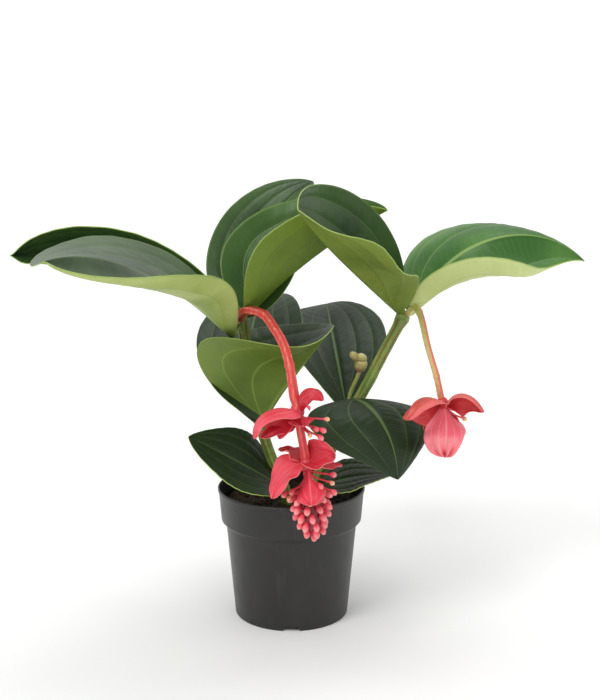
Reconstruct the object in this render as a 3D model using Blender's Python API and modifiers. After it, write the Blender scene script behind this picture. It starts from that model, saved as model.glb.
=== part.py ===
# Medinilla in a nursery pot.
# Run with Blender 4.5: blender --background --python part.py
# Units are metres, +Z is up. The origin is the middle of the pot's base, on the pot's own axis.
# The front of the plant, the side with the hanging flowers, faces -Y.

import math
import random

import bmesh
import bpy
from mathutils import Matrix, Vector, noise

# The pot: a 17 cm grower's pot, thin moulded plastic
RIM_RADIUS = 0.085
POT_HEIGHT = 0.152
LIP_DROP = 0.004
COLLAR_DROP = 0.038
COLLAR_FOOT_RADIUS = 0.0812
BODY_TOP_RADIUS = 0.0755
BASE_RADIUS = 0.0655
POT_WALL = 0.0016
FOOT_HEIGHT = 0.006
FOOT_WIDTH = 0.004
PAD_RADIUS = 0.012
NOTCH_WIDTH = 0.023
NOTCH_COUNT = 4
DRAIN_COUNT = 8
DRAIN_RADIUS = 0.004
DRAIN_CIRCLE = 0.046
POT_SIDES = 40

# The potting soil fills the pot to a finger's width below the rim
SOIL_TOP = 0.134
SOIL_LUMPS = 0.0025
STEM_HOLE_DEPTH = 0.030

# Clear space left where one piece rests against another
SEAT = 0.0003

# Leaves and bracts
LEAF_THICKNESS = 0.0011
RIPPLES = 3.7
BRACT_THICKNESS = 0.0010
LEAF_STEPS = (12, 6)
BRACT_STEPS = (8, 4)
BLADE_POINTS = 40

# Stems: two woody shoots with four blunt ridges
STEM_RADIUS = 0.0052
STEM_RIDGE = 0.0013
KNOT_RADIUS = 0.0078
PEDUNCLE_RADIUS = 0.0044
BUD_RADIUS = 0.0034

LEFT_STEM = [
    (-0.005, -0.013, 0.108), (-0.005, -0.012, 0.134), (-0.008, -0.010, 0.150),
    (-0.014, -0.008, 0.166), (-0.026, -0.004, 0.195), (-0.039, 0.000, 0.239),
    (-0.047, -0.004, 0.295), (-0.056, -0.008, 0.349),
]
RIGHT_STEM = [
    (0.019, 0.000, 0.108), (0.020, 0.000, 0.134), (0.031, 0.002, 0.162),
    (0.048, 0.005, 0.198), (0.068, 0.008, 0.235), (0.085, 0.008, 0.266),
    (0.107, 0.004, 0.311), (0.126, 0.000, 0.349),
]
LEFT_KNOTS = [(-0.0045, -0.018, 0.1545), (-0.039, 0.000, 0.239), (-0.056, -0.008, 0.3485)]
RIGHT_KNOTS = [(0.0225, -0.008, 0.1555), (0.068, 0.008, 0.235), (0.126, 0.000, 0.3485)]

scene = bpy.context.scene
for old in list(bpy.data.objects):
    bpy.data.objects.remove(old, do_unlink=True)

plant = bpy.data.collections.new("medinilla")
cutters = bpy.data.collections.new("cutters")
scene.collection.children.link(plant)
scene.collection.children.link(cutters)


# Helpers

def material(name, colour, roughness, metallic=0.0):
    mat = bpy.data.materials.new(name)
    mat.use_nodes = True
    shader = mat.node_tree.nodes["Principled BSDF"]
    shader.inputs["Base Color"].default_value = (*colour, 1.0)
    shader.inputs["Roughness"].default_value = roughness
    shader.inputs["Metallic"].default_value = metallic
    mat.diffuse_color = (*colour, 1.0)
    return mat


def add_mesh(name, bm, mat=None, collection=plant):
    mesh = bpy.data.meshes.new(name)
    bm.to_mesh(mesh)
    bm.free()
    obj = bpy.data.objects.new(name, mesh)
    collection.objects.link(obj)
    if mat:
        mesh.materials.append(mat)
    return obj


def as_cutter(obj):
    obj.hide_render = True
    obj.display_type = "WIRE"
    return obj


def boolean(obj, operation, other, solver="MANIFOLD"):
    mod = obj.modifiers.new(operation.lower(), "BOOLEAN")
    mod.operation = operation
    mod.solver = solver
    if isinstance(other, bpy.types.Collection):
        mod.operand_type = "COLLECTION"
        mod.collection = other
    else:
        mod.object = other
    return mod


def bake(obj):
    """Applies an object's modifiers, or turns a curve into its mesh."""
    depsgraph = bpy.context.evaluated_depsgraph_get()
    mesh = bpy.data.meshes.new_from_object(obj.evaluated_get(depsgraph))
    bm = bmesh.new()
    bm.from_mesh(mesh)
    bmesh.ops.remove_doubles(bm, verts=bm.verts, dist=0.00001)
    bmesh.ops.recalc_face_normals(bm, faces=bm.faces)
    bm.to_mesh(mesh)
    bm.free()
    name, mats = obj.name, [m for m in obj.data.materials]
    home = obj.users_collection[0]
    bpy.data.objects.remove(obj, do_unlink=True)
    new = bpy.data.objects.new(name, mesh)
    mesh.materials.clear()
    for mat in mats:
        mesh.materials.append(mat)
    home.objects.link(new)
    return new


def tube(name, points, radius, radii=None, profile=None, mat=None, collection=plant, sides=2):
    curve = bpy.data.curves.new(name, "CURVE")
    curve.dimensions = "3D"
    spline = curve.splines.new("POLY")
    spline.points.add(len(points) - 1)
    for i, (place, point) in enumerate(zip(points, spline.points)):
        point.co = (*place, 1.0)
        point.radius = radii[i] if radii else 1.0
    if profile:
        curve.bevel_mode = "OBJECT"
        curve.bevel_object = profile
    else:
        curve.bevel_depth = radius
        curve.bevel_resolution = sides
    curve.use_fill_caps = True
    obj = bpy.data.objects.new(name, curve)
    collection.objects.link(obj)
    if mat:
        curve.materials.append(mat)
    return bake(obj)


def ridged_profile(name, radius, ridge, corners=4, sides=12):
    """A closed outline with blunt ridges, to sweep a stem with."""
    curve = bpy.data.curves.new(name, "CURVE")
    curve.dimensions = "2D"
    spline = curve.splines.new("POLY")
    spline.points.add(sides - 1)
    for i, point in enumerate(spline.points):
        a = 2 * math.pi * i / sides
        r = radius + ridge * math.cos(corners * a)
        point.co = (r * math.cos(a), r * math.sin(a), 0.0, 1.0)
    spline.use_cyclic_u = True
    obj = bpy.data.objects.new(name, curve)
    cutters.objects.link(obj)
    return as_cutter(obj)


def smooth_path(points, steps=3):
    """Points along a smooth line through the given ones."""
    pts = [Vector(p) for p in points]
    pts = [2 * pts[0] - pts[1]] + pts + [2 * pts[-1] - pts[-2]]
    out = []
    for i in range(1, len(pts) - 2):
        p0, p1, p2, p3 = pts[i - 1:i + 3]
        for k in range(steps):
            t = k / steps
            out.append(0.5 * (2 * p1 + (p2 - p0) * t + (2 * p0 - 5 * p1 + 4 * p2 - p3) * t * t
                              + (3 * p1 - p0 - 3 * p2 + p3) * t ** 3))
    out.append(pts[-2])
    return out


def ball(name, centre, radius, stretch=(1, 1, 1), turn=None, segments=10, rings=7,
         mat=None, collection=plant):
    bm = bmesh.new()
    bmesh.ops.create_uvsphere(bm, u_segments=segments, v_segments=rings, radius=radius)
    grow = Matrix.Diagonal((*stretch, 1.0))
    place = Matrix.Translation(centre) @ (turn or Matrix.Identity(4)) @ grow
    bmesh.ops.transform(bm, matrix=place, verts=bm.verts)
    return add_mesh(name, bm, mat, collection)


def fuse(name, pieces, mat):
    """Joins loose pieces into one body with a single union on a collection."""
    first, rest = pieces[0], pieces[1:]
    group = bpy.data.collections.new(name + "_parts")
    scene.collection.children.link(group)
    for piece in rest:
        for home in list(piece.users_collection):
            home.objects.unlink(piece)
        group.objects.link(piece)
    first.data.materials.clear()
    first.data.materials.append(mat)
    boolean(first, "UNION", group)
    first.name = name + "_base"
    whole = bake(first)
    for piece in rest:
        bpy.data.objects.remove(piece, do_unlink=True)
    bpy.data.collections.remove(group)
    whole.name = name
    whole.data.materials.clear()
    whole.data.materials.append(mat)
    return whole


# Blades: leaves and bracts

class Blade:
    """A leaf or bract by the way it grows: where its rib starts, the way it heads (degrees from
    +X toward +Y), how steeply it rises, how far it droops and sweeps sideways by the tip, and
    for each side of the rib how far it folds up at the base and at the tip, and how much more
    it curls toward the margin, with a fourth number where the curl differs at the tip.
    Left and right are as seen along the rib, ripple is how far the left margin waves, sharp
    narrows the tip, and seat is the middle of
    the knot that the base grows from, which the sheath then cuts back to the stem's skin."""

    def __init__(self, start, length, width, heading, rise, droop=0.0, sweep=0.0, roll=0.0,
                 twist=0.0, left=(0, 0, 0), right=(0, 0, 0), peak=0.8, root=0.004, tip=0.0012,
                 ripple=0.0, sharp=0.0, seat=None):
        self.start, self.length, self.width = Vector(start), length, width
        self.heading, self.rise, self.droop, self.sweep = heading, rise, droop, sweep
        self.roll, self.twist, self.left, self.right = roll, twist, left, right
        self.peak, self.root, self.tip, self.ripple, self.sharp = peak, root, tip, ripple, sharp
        self.rib = [self.start.copy()]
        step = length / BLADE_POINTS
        for i in range(BLADE_POINTS):
            self.rib.append(self.rib[-1] + self.along((i + 0.5) / BLADE_POINTS) * step)
        if seat:
            self.rib[0] = Vector(seat)

    def angles(self, u):
        return (math.radians(self.heading + self.sweep * u),
                math.radians(self.rise - self.droop * max(u, 0.0) ** 1.3))

    def along(self, u):
        az, el = self.angles(u)
        return Vector((math.cos(el) * math.cos(az), math.cos(el) * math.sin(az), math.sin(el)))

    def half_width(self, u):
        body = math.sin(math.pi * min(max(u, 1e-9), 1.0) ** self.peak)
        body = self.width / 2 * max(body, 0.0) ** (0.78 + self.sharp * u ** 4)
        least = self.root + (self.tip - self.root) * min(1.0, u * 1.6)
        return math.sqrt(body * body + least * least)

    def point(self, u, v):
        f = min(max(u, 0.0), 1.0) * BLADE_POINTS
        i = min(int(f), BLADE_POINTS - 1)
        centre = self.rib[i].lerp(self.rib[i + 1], f - i)
        az, _ = self.angles(u)
        side = Vector((-math.sin(az), math.cos(az), 0.0))
        up = self.along(u).cross(side)
        r = math.radians(self.roll + self.twist * (u - 0.5))
        side, up = side * math.cos(r) + up * math.sin(r), up * math.cos(r) - side * math.sin(r)
        fold_base, fold_tip, curl, *curl_tip = self.left if v >= 0 else self.right
        fold = math.radians(fold_base + (fold_tip - fold_base) * u)
        if curl_tip:
            curl += (curl_tip[0] - curl) * u
        curl = math.radians(curl) if abs(curl) > 0.01 else 0.0002
        a = abs(v)
        w = self.half_width(u)
        out = w * (math.sin(fold + curl * a) - math.sin(fold)) / curl
        lift = w * (math.cos(fold) - math.cos(fold + curl * a)) / curl
        if v > 0:
            lift -= self.ripple * a * a * math.sin(math.pi * u) * math.sin(RIPPLES * math.pi * u)
        return centre + side * (out if v >= 0 else -out) + up * lift


def blade(name, spec, mat=None, steps=LEAF_STEPS, thickness=LEAF_THICKNESS, collection=plant):
    bm = bmesh.new()
    bmesh.ops.create_grid(bm, x_segments=steps[0], y_segments=steps[1], size=1.0)
    for vert in bm.verts:
        vert.co = spec.point((vert.co.x + 1) / 2, vert.co.y)
    bmesh.ops.triangulate(bm, faces=bm.faces)
    obj = add_mesh(name, bm, mat, collection)
    solid = obj.modifiers.new("thickness", "SOLIDIFY")
    solid.thickness = thickness
    solid.offset = 0.0
    return obj


# Materials

pot_plastic = material("pot_plastic", (0.035, 0.032, 0.030), 0.42)
potting_soil = material("potting_soil", (0.030, 0.021, 0.015), 0.95)
stem_green = material("stem_green", (0.105, 0.165, 0.035), 0.55)
peduncle_coral = material("peduncle_coral", (0.700, 0.095, 0.075), 0.50)
bract_pink = material("bract_pink", (0.760, 0.070, 0.095), 0.48)
bell_pink = material("bell_pink", (0.800, 0.200, 0.220), 0.50)
bud_pink = material("bud_pink", (0.800, 0.105, 0.140), 0.42)
young_bud = material("young_bud", (0.330, 0.270, 0.090), 0.55)


def leaf_material(name, shade):
    return material(name, (0.045 * shade, 0.105 * shade, 0.030 * shade), 0.38)


# The pot, turned from its section: up the inside, over the lip, down the outside

def build_pot():
    inner = POT_WALL
    floor = FOOT_HEIGHT + POT_WALL
    profile = [
        (0.0, floor), (BASE_RADIUS - inner - 0.001, floor), (BASE_RADIUS - inner, floor + 0.001),
        (BODY_TOP_RADIUS - inner, POT_HEIGHT - COLLAR_DROP - 0.006 + inner),
        (COLLAR_FOOT_RADIUS - inner, POT_HEIGHT - COLLAR_DROP + inner),
        (RIM_RADIUS - 0.0008 - inner, POT_HEIGHT - LIP_DROP),
        (RIM_RADIUS - 0.0018, POT_HEIGHT - 0.0004), (RIM_RADIUS - 0.0009, POT_HEIGHT),
        (RIM_RADIUS, POT_HEIGHT - 0.0008), (RIM_RADIUS, POT_HEIGHT - LIP_DROP),
        (RIM_RADIUS - 0.0010, POT_HEIGHT - LIP_DROP - 0.0006),
        (COLLAR_FOOT_RADIUS, POT_HEIGHT - COLLAR_DROP),
        (BODY_TOP_RADIUS, POT_HEIGHT - COLLAR_DROP - 0.006),
        (BASE_RADIUS + 0.0002, 0.001), (BASE_RADIUS - 0.0006, 0.0),
        (BASE_RADIUS - FOOT_WIDTH, 0.0), (BASE_RADIUS - FOOT_WIDTH - 0.001, FOOT_HEIGHT),
        (PAD_RADIUS + 0.001, FOOT_HEIGHT), (PAD_RADIUS, 0.0), (0.0, 0.0),
    ]
    bm = bmesh.new()
    verts = [bm.verts.new((r, 0.0, z)) for r, z in profile]
    for a, b in zip(verts, verts[1:]):
        bm.edges.new((a, b))
    pot = add_mesh("pot", bm, pot_plastic)
    screw = pot.modifiers.new("turn", "SCREW")
    screw.axis = "Z"
    screw.angle = 2 * math.pi
    screw.steps = screw.render_steps = POT_SIDES
    screw.use_merge_vertices = True
    screw.merge_threshold = 0.00001
    pot = bake(pot)

    tools = bpy.data.collections.new("pot_tools")
    cutters.children.link(tools)
    for i in range(NOTCH_COUNT):
        bm = bmesh.new()
        bmesh.ops.create_cube(bm, size=1.0)
        for vert in bm.verts:
            wide = NOTCH_WIDTH * (0.75 if vert.co.z > 0 else 1.0)
            vert.co = (vert.co.x * wide, vert.co.y * 0.016 - BASE_RADIUS, vert.co.z * 0.010 + 0.0003)
        turn = Matrix.Rotation(2 * math.pi * i / NOTCH_COUNT, 4, "Z")
        bmesh.ops.transform(bm, matrix=turn, verts=bm.verts)
        as_cutter(add_mesh(f"foot_notch_{i + 1}", bm, None, tools))
    for i in range(DRAIN_COUNT):
        a = 2 * math.pi * (i + 0.5) / DRAIN_COUNT
        bm = bmesh.new()
        place = Matrix.Translation((DRAIN_CIRCLE * math.cos(a), DRAIN_CIRCLE * math.sin(a), floor))
        bmesh.ops.create_cone(bm, cap_ends=True, segments=8, radius1=DRAIN_RADIUS,
                              radius2=DRAIN_RADIUS, depth=0.02, matrix=place)
        as_cutter(add_mesh(f"drain_{i + 1}", bm, None, tools))
    boolean(pot, "DIFFERENCE", tools)
    return pot


# The soil, with a lumpy top and a plain hole for each stem

def build_soil():
    floor = FOOT_HEIGHT + POT_WALL + SEAT
    gap = POT_WALL + SEAT

    def wall(z):
        low, high = FOOT_HEIGHT, POT_HEIGHT - COLLAR_DROP - 0.006
        if z <= high:
            return BASE_RADIUS + (BODY_TOP_RADIUS - BASE_RADIUS) * (z - low) / (high - low) - gap
        rise = (z - (POT_HEIGHT - COLLAR_DROP)) / COLLAR_DROP
        return COLLAR_FOOT_RADIUS + (RIM_RADIUS - 0.001 - COLLAR_FOOT_RADIUS) * rise - gap

    shoulder = POT_HEIGHT - COLLAR_DROP - 0.006
    outline = [(0.0, SOIL_TOP)]
    outline += [(wall(SOIL_TOP) * f, SOIL_TOP) for f in (0.2, 0.4, 0.6, 0.8, 0.93)]
    outline += [
        (wall(SOIL_TOP) - 0.0006, SOIL_TOP - 0.004),
        (COLLAR_FOOT_RADIUS - gap - 0.0006, POT_HEIGHT - COLLAR_DROP + gap + 0.0004),
        (BODY_TOP_RADIUS - gap - 0.0008, shoulder + 0.0014),
        (BASE_RADIUS - gap - 0.0012, floor + 0.0015), (BASE_RADIUS - gap - 0.003, floor),
        (0.0, floor),
    ]
    bm = bmesh.new()
    verts = [bm.verts.new((r, 0.0, z)) for r, z in outline]
    for a, b in zip(verts, verts[1:]):
        bm.edges.new((a, b))
    soil = add_mesh("soil", bm, potting_soil)
    screw = soil.modifiers.new("turn", "SCREW")
    screw.axis = "Z"
    screw.angle = 2 * math.pi
    screw.steps = screw.render_steps = 32
    screw.use_merge_vertices = True
    screw.merge_threshold = 0.00001
    soil = bake(soil)
    bm = bmesh.new()
    bm.from_mesh(soil.data)
    for vert in bm.verts:
        if vert.co.z > SOIL_TOP - 0.001:
            lump = noise.noise(vert.co * 60.0) + 0.5 * noise.noise(vert.co * 140.0)
            vert.co.z += SOIL_LUMPS * lump
    bmesh.ops.triangulate(bm, faces=[f for f in bm.faces if f.calc_center_median().z > SOIL_TOP - 0.003])
    bmesh.ops.recalc_face_normals(bm, faces=bm.faces)
    bm.to_mesh(soil.data)
    bm.free()
    tools = bpy.data.collections.new("soil_tools")
    cutters.children.link(tools)
    for name, path in (("left", LEFT_STEM), ("right", RIGHT_STEM)):
        down = [Vector(path[0]) - Vector((0, 0, SEAT)), *[Vector(p) for p in path[1:4]]]
        hole = tube(f"stem_hole_{name}", smooth_path(down), STEM_RADIUS + STEM_RIDGE + 0.0012,
                    collection=tools)
        as_cutter(hole)
    boolean(soil, "DIFFERENCE", tools)
    return soil


# Stems, each with a swollen knot where a pair of leaves grows

def build_stem(name, path, knots, sheath_name):
    profile = ridged_profile(f"{name}_section", STEM_RADIUS, STEM_RIDGE)
    line = smooth_path(path, 2)
    body = tube(f"{name}_shoot", line, STEM_RADIUS, profile=profile)
    parts = [body]
    for i, place in enumerate(knots):
        parts.append(ball(f"{name}_knot_{i}", place, KNOT_RADIUS, (1, 1, 1.15), rings=6))
    stem = fuse(name, parts, stem_green)
    # The sheath is the stem a seat wider all round. It trims the leaves that grow from it.
    sheath_parts = [tube(f"{sheath_name}_shoot", line, (STEM_RADIUS + STEM_RIDGE) * 1.09 + SEAT)]
    for i, place in enumerate(knots):
        sheath_parts.append(ball(f"{sheath_name}_knot_{i}", place, KNOT_RADIUS + SEAT + 0.0002,
                                 (1, 1, 1.15), rings=6))
    sheath = fuse(sheath_name, sheath_parts, stem_green)
    plant.objects.unlink(sheath)
    cutters.objects.link(sheath)
    as_cutter(sheath)
    return stem, sheath


# Leaves, two or more at each knot

LEAVES = {
    "leaf_left_back": Blade(
        (-0.067, -0.001, 0.352), 0.314, 0.121, 163, 24, 33, -15, -34, -26,
        left=(51, 10, 19, 26), right=(41, 78, 43, 69), peak=1.05, sharp=0.30, seat=(-0.0570, -0.0040, 0.3500)),
    "leaf_left_front": Blade(
        (-0.065, -0.027, 0.328), 0.294, 0.191, 217, 45, 50, 26, -23, -2,
        left=(14, -61, 88, 109), right=(40, -40, 1, -11), peak=1.08, sharp=-0.15, seat=(-0.0575, -0.0130, 0.3440)),
    "leaf_top_back": Blade(
        (-0.053, 0.002, 0.348), 0.221, 0.117, 72, 66, 53, -22, 6, 10,
        left=(0, 24, 12), right=(5, 9, 7), peak=0.69),
    "leaf_top_front": Blade(
        (-0.048, -0.006, 0.350), 0.203, 0.174, 14, 47, 22, -48, 11, -9,
        left=(45, 29, 26), right=(37, 38, 21), peak=0.64),
    "leaf_right_inner": Blade(
        (0.119, -0.007, 0.355), 0.277, 0.144, 222, 37, 19, 39, -45, -8,
        left=(67, 25, -4), right=(49, 13, 33), peak=0.80, ripple=-0.008),
    "leaf_right_outer": Blade(
        (0.136, 0.004, 0.350), 0.243, 0.233, -1, 67, 114, 1, 34, 13,
        left=(15, -39, -17, -59), right=(-13, -66, 140, 126), peak=0.97, sharp=0.35,
        seat=(0.126, 0.000, 0.3485)),
    "leaf_middle_left_back": Blade(
        (-0.042, 0.013, 0.236), 0.249, 0.131, 103, 50, 55, -34, -6, 5,
        left=(3, 8, 0), right=(14, 8, 0), peak=0.84),
    "leaf_middle_left_front": Blade(
        (-0.032, 0.003, 0.223), 0.141, 0.221, 26, 59, 11, -58, 17, 25,
        left=(51, -15, 8), right=(139, 4, 7), peak=0.61),
    "leaf_middle_right_back": Blade(
        (0.065, 0.019, 0.231), 0.237, 0.128, 102, 48, 52, -12, 1, -7,
        left=(28, -4, 0), right=(10, 14, 0), peak=0.97),
    "leaf_middle_right_front": Blade(
        (0.071, -0.001, 0.255), 0.137, 0.156, -65, 7, 98, 6, 3, 6,
        left=(-1, -9, -18), right=(2, -18, -8), peak=0.64),
    "leaf_low_left": Blade(
        (-0.014, -0.024, 0.159), 0.121, 0.102, 204, 37, 13, -24, -20, -6,
        left=(3, -10, 0), right=(14, 14, 0), peak=0.70),
    "leaf_low_right": Blade(
        (0.028, -0.012, 0.153), 0.091, 0.099, -2, 23, 29, 1, 3, -1,
        left=(5, 4, 0), right=(2, 2, 0), peak=0.82),
}
SHADES = {
    "leaf_left_back": 0.9, "leaf_left_front": 1.0, "leaf_top_back": 1.05, "leaf_top_front": 1.2,
    "leaf_right_inner": 1.05, "leaf_right_outer": 1.35, "leaf_middle_left_back": 0.6,
    "leaf_middle_left_front": 1.2, "leaf_middle_right_back": 0.65,
    "leaf_middle_right_front": 0.65, "leaf_low_left": 0.55, "leaf_low_right": 0.6,
}


# The hanging flower heads

LEFT_STALK = [
    (-0.0560, -0.0160, 0.3510), (-0.0540, -0.0280, 0.3580), (-0.0460, -0.0390, 0.3635),
    (-0.0290, -0.0480, 0.3595), (-0.0170, -0.0680, 0.3475), (-0.0070, -0.0850, 0.3330),
    (-0.0010, -0.0970, 0.3140), (0.0020, -0.1050, 0.2980), (0.0040, -0.1100, 0.2840),
    (0.0070, -0.1130, 0.2730), (0.0105, -0.1160, 0.2480), (0.0155, -0.1190, 0.2210),
    (0.0175, -0.1200, 0.2040), (0.0200, -0.1210, 0.1860),
]
LEFT_STALK_SIZE = [1.15, 1.1, 1.1, 1.1, 1.1, 1.1, 1.05, 1.1, 1.2, 1.15, 0.95, 1.0, 0.9, 0.8]
RIGHT_STALK = [
    (0.1315, -0.0085, 0.3545), (0.1345, -0.0150, 0.3615), (0.1380, -0.0230, 0.3640),
    (0.1410, -0.0320, 0.3605), (0.1440, -0.0420, 0.3500), (0.1490, -0.0550, 0.3260),
    (0.1580, -0.0640, 0.2950), (0.1630, -0.0680, 0.2720), (0.1655, -0.0690, 0.2640),
]
RIGHT_STALK_SIZE = [0.95, 0.9, 0.9, 0.9, 0.9, 0.85, 0.85, 0.9, 1.0]

UPPER_WHORL = [
    ("curled", Blade((0.0100, -0.1170, 0.268), 0.060, 0.034, -27, 115, 218, -7, 10, -2,
                     left=(-20, -20, -40), right=(-35, -28, -46), peak=0.88, root=0.005)),
    ("hooded", Blade((0.0040, -0.1170, 0.268), 0.067, 0.060, 210, 32, 140, -19, 25, -18,
                     left=(-16, -9, -44), right=(-84, 3, -40), peak=0.55, root=0.005)),
    ("behind", Blade((0.0070, -0.1090, 0.268), 0.040, 0.030, 95, 25, 70, 0, 0, 0,
                     left=(-10, -10, -20), right=(-10, -10, -20), peak=0.80, root=0.005)),
    ("front", Blade((0.0070, -0.1190, 0.266), 0.026, 0.024, -75, 10, 60, 0, 0, 0,
                    left=(-10, -10, -30), right=(-10, -10, -30), peak=0.80, root=0.005)),
]
LOWER_WHORL = [
    ("right", Blade((0.0200, -0.1230, 0.212), 0.034, 0.043, -34, 37, 28, 11, 21, 15,
                    left=(40, 47, 33), right=(30, -20, 14), peak=0.67, root=0.005)),
    ("left", Blade((0.0120, -0.1220, 0.213), 0.052, 0.034, 205, -9, 79, 3, -6, 1,
                   left=(31, -22, -14), right=(40, -16, -8), peak=0.62, root=0.005)),
    ("behind_left", Blade((0.0130, -0.1170, 0.214), 0.032, 0.026, 150, 45, 60, 0, 0, 0,
                          left=(0, 0, 20), right=(0, 0, 20), peak=0.75, root=0.005)),
    ("behind_right", Blade((0.0190, -0.1170, 0.211), 0.040, 0.026, 25, 5, 30, 0, 0, 0,
                           left=(0, 0, -20), right=(0, 0, -20), peak=0.75, root=0.005)),
]
FRONT_BRACT = Blade((0.0185, -0.1255, 0.207), 0.040, 0.037, -80, -42, 13, -6, 4, 0,
                    left=(-50, 7, -40), right=(-50, 0, -47), peak=0.98, root=0.0035)
RIGHT_WHORL = [
    ("left", Blade((0.1620, -0.0710, 0.265), 0.067, 0.063, 210, 40, 111, 30, 30, -8,
                   left=(-31, 11, -46), right=(-82, -4, -32), peak=0.84, root=0.004)),
    ("right", Blade((0.1690, -0.0720, 0.265), 0.064, 0.051, -49, 54, 122, 0, -30, -5,
                    left=(-65, -29, -45), right=(-43, 17, -46), peak=0.92, root=0.004)),
]
RIGHT_BELL = [
    ("front", Blade((0.1665, -0.0715, 0.2620), 0.061, 0.050, -75, -54, 92, -26, -4, 3,
                    left=(-10, 20, -47), right=(3, 17, -38), peak=0.99, root=0.005)),
    ("back", Blade((0.1665, -0.0665, 0.2620), 0.057, 0.048, 75, -54, 80, 0, 0, 0,
                   left=(-5, 18, -45), right=(-5, 18, -45), peak=0.99, root=0.005)),
]

# Buds on short stalks that reach out below each whorl: where each bud sits
UPPER_BUDS = [
    (0.0375, -0.1230, 0.2620), (0.0335, -0.1260, 0.2510), (0.0310, -0.1290, 0.2440),
    (0.0200, -0.1290, 0.2470), (0.0260, -0.1240, 0.2520),
]
LOWER_BUDS = [
    (0.0440, -0.1270, 0.2030), (0.0430, -0.1300, 0.1950), (0.0310, -0.1340, 0.1930),
    (0.0450, -0.1300, 0.1850), (0.0020, -0.1290, 0.1850), (-0.0010, -0.1290, 0.1780),
    (-0.0060, -0.1260, 0.1810),
]
CLUSTER_TOP = Vector((0.0200, -0.1210, 0.1820))
CLUSTER_FOOT = Vector((0.0255, -0.1210, 0.1330))
CLUSTER_ROWS = [(0.10, 8, 0.0195), (0.30, 9, 0.0183), (0.50, 8, 0.0165), (0.70, 7, 0.0135),
                (0.88, 5, 0.0090), (1.00, 1, 0.0)]


def bud(name, place, aim, size=BUD_RADIUS, long=1.35, collection=plant):
    """A blunt bud whose long axis points the way it grows."""
    turn = Vector(aim).normalized().to_track_quat("Z", "Y").to_matrix().to_4x4()
    return ball(name, place, size, (1, 1, long), turn, segments=6, rings=4, collection=collection)


def build_whorl(name, blades, node, radius, buds, bud_root, mat, stalk_cutter):
    parts = [ball(f"{name}_knot", node, radius, (1, 1, 1.2), segments=10, rings=6)]
    for tag, spec in blades:
        leaf = blade(f"{name}_{tag}", spec, mat, BRACT_STEPS, BRACT_THICKNESS)
        parts.append(bake(leaf))
    for i, place in enumerate(buds):
        root, end = Vector(bud_root), Vector(place)
        middle = root.lerp(end, 0.55) + Vector((0, -0.001, 0.0015))
        parts.append(tube(f"{name}_pedicel_{i}", [root, middle, end], 0.0009, sides=1))
        parts.append(bud(f"{name}_bud_{i}", place, end - root))
    whorl = fuse(name, parts, mat)
    if stalk_cutter:
        boolean(whorl, "DIFFERENCE", stalk_cutter)
    return whorl


def build_cluster():
    """The closed head of buds at the end of the left stalk, in rows round a small core."""
    random.seed(7)
    axis = CLUSTER_FOOT - CLUSTER_TOP
    middle = CLUSTER_TOP.lerp(CLUSTER_FOOT, 0.48)
    turn = axis.normalized().to_track_quat("Z", "Y").to_matrix().to_4x4()
    parts = [ball("cluster_core", middle, 0.0145, (1, 1, 1.72), turn, segments=10, rings=8)]
    across = axis.normalized().cross(Vector((0, 1, 0))).normalized()
    other = axis.normalized().cross(across)
    for row, (down, count, reach) in enumerate(CLUSTER_ROWS):
        for i in range(count):
            a = 2 * math.pi * (i + 0.5 * (row % 2)) / count + random.uniform(-0.06, 0.06)
            way = across * math.cos(a) + other * math.sin(a)
            foot = CLUSTER_TOP.lerp(CLUSTER_FOOT, down)
            place = foot + way * (reach * random.uniform(0.95, 1.03))
            aim = way * (1.0 - 0.6 * down) + axis.normalized() * (0.45 + down)
            parts.append(bud(f"cluster_bud_{row}_{i}", place, aim, BUD_RADIUS * 1.05, 1.45))
            if row < 2:
                root = foot + axis * 0.06
                parts.append(tube(f"cluster_stalk_{row}_{i}", [root, place], 0.0012, sides=1))
    return fuse("bloom_left_buds", parts, bud_pink)


def build_young_bud():
    """A flower bud that is only starting, on a short stalk from the right stem's middle knot."""
    stalk = [(0.0660, 0.0130, 0.2400), (0.0670, 0.0100, 0.2560), (0.0715, 0.0080, 0.2690),
             (0.0760, 0.0070, 0.2800), (0.0785, 0.0060, 0.2890)]
    parts = [tube("young_stalk", smooth_path(stalk, 2), 0.0022, sides=1)]
    lean = Matrix.Rotation(math.radians(20), 4, "Y")
    parts.append(ball("young_calyx", (0.0795, 0.0055, 0.2930), 0.0075, (1, 1, 1.2), lean, 8, 6))
    parts.append(ball("young_petals", (0.0800, 0.0050, 0.3010), 0.0066, (1, 1, 0.9), lean, 8, 6))
    hook = Matrix.Rotation(math.radians(-50), 4, "Y")
    parts.append(ball("young_hook", (0.0725, 0.0045, 0.3030), 0.0050, (0.8, 0.8, 1.5), hook, 8, 6))
    shoot = fuse("young_bud_shoot", parts, young_bud)
    boolean(shoot, "DIFFERENCE", sheath_right)
    return shoot


# Building

pot = build_pot()
soil = build_soil()
stem_left, sheath_left = build_stem("stem_left", LEFT_STEM, LEFT_KNOTS, "sheath_left")
stem_right, sheath_right = build_stem("stem_right", RIGHT_STEM, RIGHT_KNOTS, "sheath_right")

for name, spec in LEAVES.items():
    leaf = blade(name, spec, leaf_material(name + "_green", SHADES[name]))
    boolean(leaf, "DIFFERENCE", sheath_left)
    boolean(leaf, "DIFFERENCE", sheath_right)

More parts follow.
